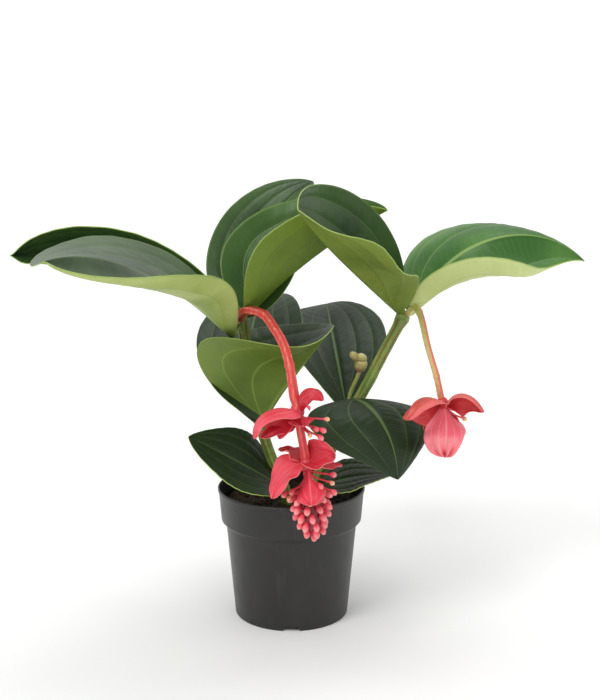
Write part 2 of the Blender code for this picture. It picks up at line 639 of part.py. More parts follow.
profile_left = ridged_profile("bloom_left_section", PEDUNCLE_RADIUS, 0.0005, 5, 10)
bloom_left_stalk = tube("bloom_left_stalk", smooth_path(LEFT_STALK, 2), 0, profile=profile_left,
                        radii=[LEFT_STALK_SIZE[min(i // 2, 13)] for i in range(27)],
                        mat=peduncle_coral)
boolean(bloom_left_stalk, "DIFFERENCE", sheath_left)
cut_left = as_cutter(tube("bloom_left_sleeve", smooth_path(LEFT_STALK, 2),
                          (PEDUNCLE_RADIUS + 0.0005) * 1.09 + SEAT,
                          radii=[LEFT_STALK_SIZE[min(i // 2, 13)] * 1.01 for i in range(27)],
                          collection=cutters))
profile_right = ridged_profile("bloom_right_section", PEDUNCLE_RADIUS * 0.86, 0.0004, 5, 10)
bloom_right_stalk = tube("bloom_right_stalk", smooth_path(RIGHT_STALK, 2), 0,
                         profile=profile_right,
                         radii=[RIGHT_STALK_SIZE[min(i // 2, 8)] for i in range(17)],
                         mat=peduncle_coral)
boolean(bloom_right_stalk, "DIFFERENCE", sheath_right)
cut_right = as_cutter(tube("bloom_right_sleeve", smooth_path(RIGHT_STALK, 2),
                           (PEDUNCLE_RADIUS * 0.86 + 0.0004) * 1.09 + SEAT,
                           radii=[RIGHT_STALK_SIZE[min(i // 2, 8)] * 1.01 for i in range(17)],
                           collection=cutters))

boolean(bpy.data.objects["leaf_right_outer"], "DIFFERENCE", cut_right)
boolean(bpy.data.objects["leaf_left_front"], "DIFFERENCE", cut_left)

build_whorl("bloom_left_upper_bracts", UPPER_WHORL, (0.0070, -0.1135, 0.2680), 0.0078,
            UPPER_BUDS, (0.0095, -0.1190, 0.2640), bract_pink, cut_left)
build_whorl("bloom_left_lower_bracts", LOWER_WHORL + [("front", FRONT_BRACT)], (0.0165, -0.1195, 0.2120), 0.0076,
            LOWER_BUDS, (0.0180, -0.1240, 0.2080), bract_pink, cut_left)
build_whorl("bloom_right_bracts", RIGHT_WHORL + RIGHT_BELL, (0.1650, -0.0690, 0.2660), 0.0064,
            [(0.1840, -0.0800, 0.2590), (0.1870, -0.0810, 0.2520)], (0.1680, -0.0720, 0.2640),
            bract_pink, cut_right)
build_cluster()
build_young_bud()
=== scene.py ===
# %% [markdown]
# # A medinilla in its nursery pot
# This lesson dresses a imported model of a flowering houseplant. The imported solids give every piece
# its place and size. Here each leaf, bract and bud is modelled again with a finer skin, and every
# surface gets a material made from nodes. The first cell loads the solids and bakes their places into
# their meshes.

# %% Load the imported model
import math
import random

import bmesh
import bpy
from mathutils import Matrix, Vector, noise


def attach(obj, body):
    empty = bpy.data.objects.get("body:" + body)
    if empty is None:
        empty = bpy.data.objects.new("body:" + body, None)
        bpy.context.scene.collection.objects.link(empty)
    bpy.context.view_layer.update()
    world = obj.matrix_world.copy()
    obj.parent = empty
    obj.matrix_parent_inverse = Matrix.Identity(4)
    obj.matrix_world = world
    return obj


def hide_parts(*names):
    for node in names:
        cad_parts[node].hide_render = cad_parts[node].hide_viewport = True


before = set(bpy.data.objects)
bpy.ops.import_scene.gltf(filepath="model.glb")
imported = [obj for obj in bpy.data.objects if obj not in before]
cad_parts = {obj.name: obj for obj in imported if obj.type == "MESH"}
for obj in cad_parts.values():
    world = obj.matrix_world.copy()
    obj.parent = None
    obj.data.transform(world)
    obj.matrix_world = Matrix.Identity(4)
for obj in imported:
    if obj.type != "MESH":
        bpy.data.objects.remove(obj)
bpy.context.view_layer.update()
print("solids:", len(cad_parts))

# %% [markdown]
# ## The camera
# The photo was taken from a little above the leaves, about 1.4 m in front of the pot. The place
# could be guessed by eye. The ellipse that the pot's rim makes gives the height and the tilt more
# surely, so they were worked out from it.

# %% Camera at the photo's view
PHOTO_LENS, PHOTO_PLACE, PHOTO_TILT = 64, (0.010, -1.385, 0.583), 11.09


def into_scene(name, data):
    """Makes an object at the origin and puts it in the scene."""
    made = bpy.data.objects.new(name, data)
    bpy.context.scene.collection.objects.link(made)
    return made


camera = into_scene("photo_view", bpy.data.cameras.new("photo_view"))
camera.data.lens = PHOTO_LENS
camera.location = PHOTO_PLACE
camera.rotation_euler = (math.radians(90 - PHOTO_TILT), 0, 0)
bpy.context.scene.camera = camera
print("camera at", tuple(camera.location))

# %% [markdown]
# ## Helpers for nodes
# A material is a small graph. It could be written out node by node, but each one would then fill
# a page. These helpers add a node, join two sockets and do sums, so that each finish below reads
# like a recipe. Wherever a helper takes a value, it can take another node's socket instead.

# %% Node helpers
def add(tree, kind, **settings):
    made = tree.nodes.new(kind)
    for key, value in settings.items():
        setattr(made, key, value)
    return made


def feed(tree, value, socket):
    if isinstance(value, bpy.types.NodeSocket):
        tree.links.new(value, socket)
    else:
        socket.default_value = value


def maths(tree, operation, a, b=0.0, c=None):
    made = add(tree, "ShaderNodeMath", operation=operation)
    feed(tree, a, made.inputs[0])
    feed(tree, b, made.inputs[1])
    if c is not None:
        feed(tree, c, made.inputs[2])
    return made.outputs[0]


def times(tree, a, b):
    return maths(tree, "MULTIPLY", a, b)


def ramp(tree, value, low, high, out_low=0.0, out_high=1.0):
    """A smooth step from out_low to out_high while the value goes from low to high."""
    made = add(tree, "ShaderNodeMapRange", interpolation_type="SMOOTHSTEP")
    feed(tree, value, made.inputs["Value"])
    feed(tree, low, made.inputs["From Min"])
    feed(tree, high, made.inputs["From Max"])
    feed(tree, out_low, made.inputs["To Min"])
    feed(tree, out_high, made.inputs["To Max"])
    return made.outputs["Result"]


def blend_colours(tree, amount, one, two):
    made = add(tree, "ShaderNodeMix", data_type="RGBA")
    feed(tree, amount, made.inputs[0])
    feed(tree, one, made.inputs[6])
    feed(tree, two, made.inputs[7])
    return made.outputs[2]


def speckle(tree, scale, detail=3.0, stretch=None):
    """Noise on the object's own coordinates, drawn out where stretch is below one."""
    where = add(tree, "ShaderNodeTexCoord").outputs["Object"]
    if stretch:
        mapping = add(tree, "ShaderNodeMapping")
        mapping.inputs["Scale"].default_value = stretch
        tree.links.new(where, mapping.inputs["Vector"])
        where = mapping.outputs["Vector"]
    made = add(tree, "ShaderNodeTexNoise")
    tree.links.new(where, made.inputs["Vector"])
    made.inputs["Scale"].default_value = scale
    made.inputs["Detail"].default_value = detail
    return made.outputs["Fac"]


# %% Colours, materials and bumps
def linear(red, green, blue):
    """An sRGB colour, 0 to 255, as the linear values that nodes take."""
    def one(c):
        c /= 255
        return c / 12.92 if c <= 0.04045 else ((c + 0.055) / 1.055) ** 2.4
    return (one(red), one(green), one(blue), 1.0)


def new_material(name, roughness=0.5, coat=0.0, specular=0.5):
    made = bpy.data.materials.new(name)
    made.use_nodes = True
    shader = made.node_tree.nodes["Principled BSDF"]
    shader.inputs["Roughness"].default_value = roughness
    shader.inputs["Coat Weight"].default_value = coat
    shader.inputs["Coat Roughness"].default_value = 0.35
    shader.inputs["Specular IOR Level"].default_value = specular
    return made, made.node_tree, shader


def connect(tree, shader, colour, rough, height, strength, distance):
    """Ends a finish with its colour, its roughness and a bump of so many metres."""
    tree.links.new(colour, shader.inputs["Base Color"])
    tree.links.new(rough, shader.inputs["Roughness"])
    bump = add(tree, "ShaderNodeBump")
    bump.inputs["Strength"].default_value = strength
    bump.inputs["Distance"].default_value = distance
    tree.links.new(height, bump.inputs["Height"])
    tree.links.new(bump.outputs["Normal"], shader.inputs["Normal"])


def skin_map(tree):
    """The piece's own UV map: the way along it, and the way across or round it, both 0 to 1."""
    split = add(tree, "ShaderNodeSeparateXYZ")
    tree.links.new(add(tree, "ShaderNodeUVMap", uv_map="skin").outputs[0], split.inputs[0])
    return split.outputs[0], split.outputs[1]


print("node helpers ready")

# %% [markdown]
# ## The vein map
# A medinilla leaf has a strong midrib and two or three pairs of side veins that leave it low down
# and run in an arch to the tip, with faint cross veins like ladder rungs between them. They could
# be modelled as ridges, but lines this thin would need millions of faces. The skin of each leaf
# carries a UV map with the way along the rib in X and the way across in Y, so one node group can
# draw the veins on every leaf and every bract. It puts out masks, and each material decides what
# to do with them. A reach is how far from the midrib a side vein ends up, and a spread is how much
# of the leaf's length it takes to get there.

# %% Node group for the veins
INNER_REACH, INNER_SPREAD = 0.40, 0.50
OUTER_REACH, OUTER_SPREAD = 0.73, 0.36
ARCH = 2.5


def make_vein_group():
    group = bpy.data.node_groups.new("arching_veins", "ShaderNodeTree")
    face = group.interface
    for name, value in (("Inner Reach", INNER_REACH), ("Outer Reach", OUTER_REACH),
                        ("Line Width", 0.015), ("Cross Count", 30.0)):
        face.new_socket(name, in_out="INPUT", socket_type="NodeSocketFloat").default_value = value
    for name in ("Midrib", "Side Veins", "Cross Veins", "Margin", "Along", "Across"):
        face.new_socket(name, in_out="OUTPUT", socket_type="NodeSocketFloat")
    given, out = add(group, "NodeGroupInput"), add(group, "NodeGroupOutput")
    along, sideways = skin_map(group)
    off = maths(group, "ABSOLUTE", maths(group, "MULTIPLY_ADD", sideways, 2.0, -1.0))
    wobble = maths(group, "MULTIPLY_ADD", speckle(group, 40.0), 0.03, -0.015)
    across = maths(group, "ADD", off, wobble)
    width = given.outputs["Line Width"]

    rib_width = ramp(group, along, 0.0, 1.0, times(group, width, 2.6),
                     times(group, width, 0.9))
    midrib = ramp(group, off, times(group, rib_width, 0.35), rib_width, 1.0, 0.0)

    lines = []
    for reach, spread, thin in (("Inner Reach", INNER_SPREAD, 1.0),
                                ("Outer Reach", OUTER_SPREAD, 0.8)):
        left_over = maths(group, "SUBTRACT", 1.0, maths(
            group, "MINIMUM", maths(group, "DIVIDE", along, spread), 1.0))
        arch = maths(group, "SUBTRACT", 1.0, maths(group, "POWER", left_over, ARCH))
        centre = times(group, arch, given.outputs[reach])
        far = maths(group, "ABSOLUTE", maths(group, "SUBTRACT", across, centre))
        line = ramp(group, far, 0.0, times(group, width, thin), 1.0, 0.0)
        lines.append(times(group, line, ramp(group, along, 0.0, 0.04)))
    sides = maths(group, "MAXIMUM", *lines)

    rung = maths(group, "MULTIPLY_ADD", along, given.outputs["Cross Count"],
                 times(group, across, -3.5))
    rung = maths(group, "ADD", rung, times(group, speckle(group, 25.0), 2.0))
    rung = maths(group, "ABSOLUTE", maths(group, "SUBTRACT", maths(group, "FRACT", rung), 0.5))
    rungs = ramp(group, rung, 0.0, 0.10, 1.0, 0.0)
    margin = ramp(group, off, 0.982, 0.995)
    for name, value in (("Midrib", midrib), ("Side Veins", sides), ("Cross Veins", rungs),
                        ("Margin", margin), ("Along", along), ("Across", across)):
        group.links.new(value, out.inputs[name])
    return group


veins = make_vein_group()
print("vein group outputs:", len(veins.interface.items_tree))

# %% [markdown]
# ## Leaf finishes
# The upper face is a leathery dark green with a soft sheen and paler sunken veins. The underside
# is yellow-green with raised veins, and the thin rim between them is bright yellow-green. Leaves
# low on the plant are darker. One material could serve them all with an attribute on each leaf, but
# a function that makes a finish from three shades is easier to read and to change.

# %% Leaf materials
def leaf_face(name, deep, light, vein, roughness, sunk, coat, line=0.015):
    """One side of a leaf; its veins are sunk or else raised."""
    made, tree, shader = new_material(name, roughness, coat, 0.26)
    group = add(tree, "ShaderNodeGroup", node_tree=veins)
    group.inputs["Line Width"].default_value = line
    mottle = ramp(tree, speckle(tree, 14.0, 4.0), 0.35, 0.70)
    fine = speckle(tree, 220.0, 2.0)
    colour = blend_colours(tree, times(tree, mottle, 0.5), deep, light)
    near = ramp(tree, group.outputs["Across"], 0.45, 1.0, 0.0, 0.45)
    colour = blend_colours(tree, near, colour, light)
    cross = group.outputs["Cross Veins"]
    colour = blend_colours(tree, times(tree, cross, 0.05), colour, vein)
    fade = ramp(tree, group.outputs["Along"], 0.1, 0.9, 0.75, 0.30)
    lines = maths(tree, "MAXIMUM", times(tree, group.outputs["Midrib"], 0.9),
                  times(tree, group.outputs["Side Veins"], fade))
    colour = blend_colours(tree, times(tree, lines, 0.7), colour, vein)
    colour = blend_colours(tree, times(tree, group.outputs["Margin"], 0.45), colour,
                           linear(128, 156, 72))
    rough = maths(tree, "MULTIPLY_ADD", fine, 0.12, roughness - 0.06)
    height = times(tree, lines, -1.0 if sunk else 1.0)
    height = maths(tree, "ADD", height, times(tree, cross, -0.35 if sunk else 0.35))
    height = maths(tree, "ADD", height, times(tree, fine, 0.10))
    connect(tree, shader, colour, rough, height, 0.55, 0.0006)
    return made


LEAF_FINISHES = {
    "fresh": (leaf_face("leaf_top_fresh", linear(40, 72, 26), linear(82, 122, 48),
                        linear(128, 160, 78), 0.38, True, 0.06),
              leaf_face("leaf_under_fresh", linear(92, 118, 36), linear(130, 156, 52),
                        linear(78, 106, 36), 0.55, False, 0.0)),
    "mid": (leaf_face("leaf_top_mid", linear(38, 64, 30), linear(74, 106, 50),
                      linear(116, 146, 80), 0.36, True, 0.08),
            leaf_face("leaf_under_mid", linear(96, 118, 42), linear(134, 154, 62),
                      linear(76, 100, 34), 0.55, False, 0.0)),
    "dark": (leaf_face("leaf_top_dark", linear(26, 42, 22), linear(46, 68, 36),
                       linear(104, 128, 72), 0.44, True, 0.04, 0.024),
             leaf_face("leaf_under_dark", linear(76, 96, 36), linear(102, 122, 50),
                       linear(124, 144, 70), 0.55, False, 0.0)),
    "sheen": (leaf_face("leaf_top_sheen", linear(50, 72, 42), linear(92, 116, 76),
                        linear(100, 128, 76), 0.32, True, 0.22),
              leaf_face("leaf_under_pale", linear(124, 146, 58), linear(196, 208, 132),
                        linear(108, 130, 54), 0.52, False, 0.0)),
    "bright": (leaf_face("leaf_top_bright", linear(52, 100, 36), linear(98, 146, 62),
                         linear(160, 190, 106), 0.36, True, 0.10),
               leaf_face("leaf_under_bright", linear(168, 186, 102), linear(212, 222, 160),
                         linear(140, 162, 82), 0.52, False, 0.0)),
    "cupped": (leaf_face("leaf_top_cupped", linear(34, 52, 28), linear(60, 84, 42),
                         linear(110, 134, 76), 0.36, True, 0.10),
               leaf_face("leaf_under_cupped", linear(86, 110, 38), linear(122, 146, 56),
                         linear(150, 172, 80), 0.52, False, 0.0, 0.022)),
}
leaf_rim, rim_tree, rim_shader = new_material("leaf_rim", 0.5)
rim_tint = blend_colours(rim_tree, speckle(rim_tree, 60.0), linear(134, 162, 72),
                         linear(176, 198, 108))
rim_tree.links.new(rim_tint, rim_shader.inputs["Base Color"])
print("leaf finishes:", len(LEAF_FINISHES))

# %% [markdown]
# ## A blade
# A leaf could be sculpted, but growth is easy to say in numbers: the rib starts at the stem, heads
# one way, rises, droops and sweeps, and each half folds up from the rib and curls toward the
# margin. The class turns those numbers into a point for any place along and across the blade.
# Lengths are in metres and turns in degrees. Each half has a fold at the base, a fold at the tip
# and a curl, which may have another value at the tip. A bract grows the same way as a leaf.

# %% The blade's shape
RIB_STEPS, RIPPLES = 80, 3.7


def ease(x):
    """A smooth step from 0 to 1."""
    x = min(max(x, 0.0), 1.0)
    return x * x * (3 - 2 * x)


class Blade:
    """A leaf or bract: where it starts, how it heads and bends, and the shape of its halves.

    peak moves the widest place along it, sharp draws out or blunts the tip, root and tip are the
    least half widths at the ends, ripple waves the left half, and seat joins the base to a knot.
    """

    def __init__(self, start, length, width, heading, rise, droop=0.0, sweep=0.0, roll=0.0,
                 twist=0.0, left=(0, 0, 0), right=(0, 0, 0), peak=0.8, root=0.004, tip=0.0004,
                 sharp=0.0, ripple=0.0, seat=None):
        self.width, self.heading, self.rise, self.droop, self.sweep = (
            width, heading, rise, droop, sweep)
        self.roll, self.twist, self.left, self.right = roll, twist, left, right
        self.peak, self.root, self.tip = peak, root, tip
        self.sharp, self.ripple = sharp, ripple
        self.wave = self.relief = self.frill = 0.0
        self.seed = Vector(start) * 91.0
        self.rib = [Vector(start)]
        for i in range(RIB_STEPS):
            ahead = self.along((i + 0.5) / RIB_STEPS)
            self.rib.append(self.rib[-1] + ahead * (length / RIB_STEPS))
        if seat:
            self.rib[0] = Vector(seat)

    def angles(self, u):
        """Which way the rib points at u, as a heading and a slope."""
        return (math.radians(self.heading + self.sweep * u),
                math.radians(self.rise - self.droop * max(u, 0.0) ** 1.3))

    def along(self, u):
        az, el = self.angles(u)
        return Vector((math.cos(el) * math.cos(az), math.cos(el) * math.sin(az), math.sin(el)))

    def half_width(self, u):
        """From the rib to the margin: the round outline, and never less than the stub at an end."""
        body = math.sin(math.pi * min(max(u, 1e-9), 1.0) ** self.peak)
        body = self.width / 2 * max(body, 0.0) ** (0.78 + self.sharp * u ** 4)
        least = self.root + (self.tip - self.root) * min(1.0, u * 1.6)
        return math.sqrt(body * body + least * least)

    def point(self, u, v):
        """The place on the blade at u, 0 to 1 along it, and v, -1 to 1 across it."""
        f = min(max(u, 0.0), 1.0) * RIB_STEPS
        i = min(int(f), RIB_STEPS - 1)
        centre = self.rib[i].lerp(self.rib[i + 1], f - i)
        az, _ = self.angles(u)
        side = Vector((-math.sin(az), math.cos(az), 0.0))
        up = self.along(u).cross(side)
        r = math.radians(self.roll + self.twist * (u - 0.5))
        side, up = side * math.cos(r) + up * math.sin(r), up * math.cos(r) - side * math.sin(r)
        fold_base, fold_tip, curl, *curl_tip = self.left if v >= 0 else self.right
        fold = math.radians(fold_base + (fold_tip - fold_base) * u)
        if curl_tip:
            curl += (curl_tip[0] - curl) * u
        curl = math.radians(curl) if abs(curl) > 0.01 else 0.0002
        a = abs(v)
        w = self.half_width(u)
        out = w * (math.sin(fold + curl * a) - math.sin(fold)) / curl
        lift = w * (math.cos(fold) - math.cos(fold + curl * a)) / curl
        tilt = fold + curl * a
        normal = up * math.cos(tilt) - side * (math.sin(tilt) if v >= 0 else -math.sin(tilt))
        return centre + side * (out if v >= 0 else -out) + up * lift + normal * self.detail(u, v)

    def detail(self, u, v):
        """How far the skin stands off the plain shape: waves, a frilled hem and the quilting."""
        a = abs(v)
        ends = math.sin(math.pi * min(max(u, 0.0), 1.0))
        wander = noise.noise(Vector((u * 5.0, v * 1.3, 0.0)) + self.seed)
        swing = math.sin(9.0 * u + 2.0 * v + self.seed.x) + 1.4 * wander
        off = self.wave * a * a * ends * swing
        off += self.frill * max(u - 0.45, 0.0) * math.sin(11.0 * v + self.seed.y)
        off += self.relief * self.quilt(u, a) * ends
        if v > 0:
            off -= self.ripple * a * a * ends * math.sin(RIPPLES * math.pi * u)
        return off

    def quilt(self, u, a):
        """Sunk along the midrib and side veins, and puffed a little between them."""
        depth = 1.3 * math.exp(-(a / 0.06) ** 2)
        for reach, spread in ((INNER_REACH, INNER_SPREAD), (OUTER_REACH, OUTER_SPREAD)):
            centre = reach * (1 - (1 - min(u / spread, 1.0)) ** ARCH)
            depth = max(depth, 0.75 * math.exp(-((a - centre) / 0.055) ** 2) * ease(u / 0.1))
        rungs = u * 13 - a * 1.8 + 0.8 * noise.noise(Vector((u * 4, a * 3, 0)) + self.seed)
        puff = 0.16 * math.sin(2 * math.pi * rungs) * (1 - min(depth, 1.0))
        return puff - depth


print("blade class ready, ribs in", RIB_STEPS, "steps")

# %% [markdown]
# ## From a bmesh to a piece
# Every new piece ends the same way: its mesh goes into an object at the origin, it gets its
# materials, it rides on the one body of the plant, and the imported solid it stands for is hidden. A
# blade is laid as one sheet, and a Solidify modifier gives it its thin wall with its own material
# for the underside and the rim, which keeps the grid simple.

# %% Helpers that make a piece
def mesh_object(name, bm):
    mesh = bpy.data.meshes.new(name)
    bm.to_mesh(mesh)
    bm.free()
    return into_scene(name, mesh)


def new_piece(name, bm, materials, replaces=()):
    piece = mesh_object(name, bm)
    mesh = piece.data
    for item in materials:
        mesh.materials.append(item)
    mesh.polygons.foreach_set("use_smooth", [True] * len(mesh.polygons))
    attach(piece, "root")
    if replaces:
        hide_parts(*replaces)
    return piece


def flat_grid(bm, columns, rows):
    """A grid from -1 to 1 each way, with a UV map named skin; gives back its vertices."""
    if not bm.loops.layers.uv.get("skin"):
        bm.loops.layers.uv.new("skin")
    return bmesh.ops.create_grid(bm, x_segments=columns, y_segments=rows, size=1.0,
                                 calc_uvs=True)["verts"]


def lay_blade(bm, spec, steps, material_index=0):
    """Adds one blade to a bmesh: a grid with its UV map, bent into shape."""
    known = set(bm.faces)
    for vert in flat_grid(bm, *steps):
        vert.co = spec.point((vert.co.x + 1) / 2, vert.co.y)
    for face in bm.faces:
        if face not in known:
            face.material_index = material_index


def give_thickness(piece, thickness):
    """A wall for a sheet: the next material for its underside, and the one after for its rim."""
    solid = piece.modifiers.new("thickness", "SOLIDIFY")
    solid.thickness = thickness
    solid.offset = 0.0
    solid.material_offset = 1
    solid.material_offset_rim = 2


print("piece helpers ready")

# %% [markdown]
# ## Twelve leaves
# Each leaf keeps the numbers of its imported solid, so it stands in the same place, but the grid is
# seven times finer. Only the cupped leaf of the left shoot stands a little nearer to the camera
# than its solid, so that the stem passes behind it. A little wave along the margin and the sunken
# veins are part of the shape. The second table gives each leaf its finish and the size of its wave.

# %% The leaves
LEAVES = {
    "leaf_left_back": Blade(
        (-0.067, -0.001, 0.352), 0.314, 0.121, 163, 24, 33, -15, -34, -26,
        left=(51, 10, 19, 26), right=(41, 78, 43, 69), peak=1.05, sharp=0.30,
        seat=(-0.0570, -0.0040, 0.3500)),
    "leaf_left_front": Blade(
        (-0.065, -0.027, 0.328), 0.294, 0.191, 217, 45, 50, 26, -23, -2,
        left=(14, -61, 88, 109), right=(40, -40, 1, -11), peak=1.08, sharp=-0.15,
        seat=(-0.0575, -0.0130, 0.3440)),
    "leaf_top_back": Blade(
        (-0.053, 0.002, 0.348), 0.221, 0.117, 72, 66, 53, -22, 6, 10,
        left=(0, 24, 12), right=(5, 9, 7), peak=0.69),
    "leaf_top_front": Blade(
        (-0.048, -0.006, 0.350), 0.203, 0.174, 14, 47, 22, -48, 11, -9,
        left=(45, 29, 26), right=(37, 38, 21), peak=0.64),
    "leaf_right_inner": Blade(
        (0.119, -0.007, 0.355), 0.277, 0.144, 222, 37, 19, 39, -45, -8,
        left=(67, 25, -4), right=(49, 13, 33), peak=0.80, ripple=-0.008,
        seat=(0.126, 0.000, 0.3485)),
    "leaf_right_outer": Blade(
        (0.136, 0.004, 0.350), 0.243, 0.233, -1, 67, 114, 1, 34, 13,
        left=(15, -39, -17, -59), right=(-13, -66, 140, 126), peak=0.97, sharp=0.35,
        seat=(0.126, 0.000, 0.3485)),
    "leaf_middle_left_back": Blade(
        (-0.042, 0.013, 0.236), 0.249, 0.131, 103, 50, 55, -34, -6, 5,
        left=(3, 8, 0), right=(14, 8, 0), peak=0.84, seat=(-0.039, 0.000, 0.239)),
    "leaf_middle_left_front": Blade(
        (-0.0315, -0.0145, 0.2277), 0.141, 0.221, 26, 59, 11, -58, 17, 25,
        left=(51, -15, 8), right=(139, 4, 7), peak=0.61, seat=(-0.0350, -0.0045, 0.2225)),
    "leaf_middle_right_back": Blade(
        (0.065, 0.019, 0.231), 0.237, 0.128, 102, 48, 52, -12, 1, -7,
        left=(28, -4, 0), right=(10, 14, 0), peak=0.97, seat=(0.068, 0.008, 0.235)),
    "leaf_middle_right_front": Blade(
        (0.071, -0.001, 0.255), 0.137, 0.156, -65, 7, 98, 6, 3, 6,
        left=(-1, -9, -18), right=(2, -18, -8), peak=0.64),
    "leaf_low_left": Blade(
        (-0.014, -0.024, 0.159), 0.121, 0.102, 204, 37, 13, -24, -20, -6,
        left=(3, -10, 0), right=(14, 14, 0), peak=0.70),
    "leaf_low_right": Blade(
        (0.028, -0.012, 0.153), 0.091, 0.099, -2, 23, 29, 1, 3, -1,
        left=(5, 4, 0), right=(2, 2, 0), peak=0.82),
}
FINISH_OF = {
    "leaf_left_back": ("mid", 0.0016), "leaf_left_front": ("sheen", 0.0020),
    "leaf_top_back": ("mid", 0.0016), "leaf_top_front": ("fresh", 0.0022),
    "leaf_right_inner": ("mid", 0.0018), "leaf_right_outer": ("bright", 0.0020),
    "leaf_middle_left_back": ("dark", 0.0014), "leaf_middle_left_front": ("cupped", 0.0016),
    "leaf_middle_right_back": ("dark", 0.0014), "leaf_middle_right_front": ("dark", 0.0018),
    "leaf_low_left": ("dark", 0.0014), "leaf_low_right": ("dark", 0.0012),
}
LEAF_GRID, LEAF_THICKNESS, VEIN_DEPTH = (84, 56), 0.0011, 0.0015

for name, spec in LEAVES.items():
    finish, spec.wave = FINISH_OF[name]
    top, under = LEAF_FINISHES[finish]
    spec.relief = VEIN_DEPTH
    bm = bmesh.new()
    lay_blade(bm, spec, LEAF_GRID)
    leaf = new_piece(name + "_skin", bm, (top, under, leaf_rim),
                     (name,))
    give_thickness(leaf, LEAF_THICKNESS)
print("leaves:", len(LEAVES))

# %% [markdown]
# ## Round things along a line
# Stems and flower stalks are tubes. A curve with a bevel would be quick, but its radius can't
# change round the path. So a grid is wrapped round a smooth path, its seam is welded, and its two
# ends are drawn in to a point. The radius may change along the path, for the swollen knots at each
# pair of leaves, and round it, for the blunt ridges. Buds are balls, drawn out or pinched.

# %% Tubes and balls
def smooth_path(points, steps):
    """A curve through the points, with so many steps from each one to the next."""
    pts = [Vector(p) for p in points]
    pts = [2 * pts[0] - pts[1]] + pts + [2 * pts[-1] - pts[-2]]
    out = []
    for i in range(1, len(pts) - 2):
        p0, p1, p2, p3 = pts[i - 1:i + 3]
        for k in range(steps):
            t = k / steps
            out.append(0.5 * (2 * p1 + (p2 - p0) * t + (2 * p0 - 5 * p1 + 4 * p2 - p3) * t * t
                              + (3 * p1 - p0 - 3 * p2 + p3) * t ** 3))
    out.append(pts[-2])
    return out


def lay_tube(bm, path, radius, around=20, material_index=0):
    """Wraps a grid round a path; radius(t, angle) is the reach from the middle."""
    known = set(bm.faces)
    count = len(path) - 1
    frames = []
    side = None
    for i, here in enumerate(path):
        ahead = (path[min(i + 1, count)] - path[max(i - 1, 0)]).normalized()
        if side is None:
            side = ahead.orthogonal().normalized() if abs(ahead.z) < 0.8 else Vector((1, 0, 0))
        side = (side - ahead * side.dot(ahead)).normalized()
        frames.append((here, side.copy(), ahead.cross(side)))
    made = flat_grid(bm, count + 2, around)
    for vert in made:
        row = round((vert.co.x + 1) / 2 * (count + 2)) - 1
        angle = math.pi * (vert.co.y + 1)
        i = min(max(row, 0), count)
        here, across, other = frames[i]
        reach = radius(i / count, angle) if 0 <= row <= count else 0.0
        vert.co = here + (across * math.cos(angle) + other * math.sin(angle)) * reach
    bmesh.ops.remove_doubles(bm, verts=made, dist=1e-7)
    fresh = [face for face in bm.faces if face not in known]
    bmesh.ops.recalc_face_normals(bm, faces=fresh)
    for face in fresh:
        face.material_index = material_index


def lay_ball(bm, centre, radius, aim=(0, 0, 1), stretch=1.0, shape=None, segments=12, rings=9,
             material_index=0):
    """Adds a ball whose long axis points along aim; shape(t) is its waist from foot to tip."""
    layer = bm.loops.layers.uv.get("skin") or bm.loops.layers.uv.new("skin")
    known = set(bm.faces)
    made = bmesh.ops.create_uvsphere(bm, u_segments=segments, v_segments=rings, radius=1.0)
    fresh = [face for face in bm.faces if face not in known]
    for face in fresh:
        face.material_index = material_index
        for loop in face.loops:
            loop[layer].uv = ((loop.vert.co.z + 1) / 2, 0.5)
    turn = Vector(aim).normalized().to_track_quat("Z", "Y").to_matrix()
    for vert in made["verts"]:
        t = (vert.co.z + 1) / 2
        waist = shape(t) if shape else 1.0
        local = Vector((vert.co.x * waist, vert.co.y * waist, vert.co.z * stretch)) * radius
        vert.co = Vector(centre) + turn @ local


print("tube and ball helpers ready")

# %% [markdown]
# ## Stems
# The two shoots are green with four blunt corners that catch the light, a reddish flush in the
# hollows between them, and corky lines where old leaves fell. Noise on plain coordinates would
# cross the stem at a slant where it leans. The finish uses the tube's UV map, so the ridges follow
# the stem.

# %% Stem finish
def streaked(name, base, light, flush, corners, roughness, flush_amount, rings):
    """A ribbed skin: a painted highlight on the corners, flushed hollows and so many corky rings."""
    made, tree, shader = new_material(name, roughness, 0.08, 0.45)
    along, around = skin_map(tree)
    ridge = maths(tree, "COSINE", times(tree, around, 2 * math.pi * corners))
    ridge = maths(tree, "MULTIPLY_ADD", ridge, 0.5, 0.5)
    streak = ramp(tree, speckle(tree, 90.0, 4.0, (1.0, 1.0, 0.16)), 0.35, 0.70)
    fine = speckle(tree, 420.0, 2.0)
    colour = blend_colours(tree, times(tree, streak, 0.6), base, light)
    # Painted highlight: the four corners are blended toward the light colour, where they catch the
    # light.
    colour = blend_colours(tree, times(tree, ridge, 0.45), colour, light)
    hollow = ramp(tree, ridge, 0.0, 0.35, 1.0, 0.0)
    patch = ramp(tree, speckle(tree, 22.0, 2.0), 0.40, 0.62)
    amount = times(tree, hollow, times(tree, patch, flush_amount))
    colour = blend_colours(tree, amount, colour, flush)
    height = maths(tree, "MULTIPLY_ADD", streak, 0.5, times(tree, fine, 0.4))
    band = maths(tree, "SINE", maths(tree, "MULTIPLY_ADD", along, rings,
                                     times(tree, fine, 3.0)))
    band = ramp(tree, band, 0.90, 1.0)
    band = times(tree, band, ramp(tree, speckle(tree, 60.0, 2.0), 0.45, 0.6))
    colour = blend_colours(tree, times(tree, band, 0.55), colour, flush)
    height = maths(tree, "SUBTRACT", height, band)
    rough = maths(tree, "MULTIPLY_ADD", fine, 0.2, roughness - 0.1)
    connect(tree, shader, colour, rough, height, 0.5, 0.0005)
    return made


stem_finish = streaked("stem_skin", linear(84, 112, 40), linear(150, 174, 84), linear(140, 62, 44),
                       4, 0.48, 0.75, 160.0)
print("stem finish:", stem_finish.name)

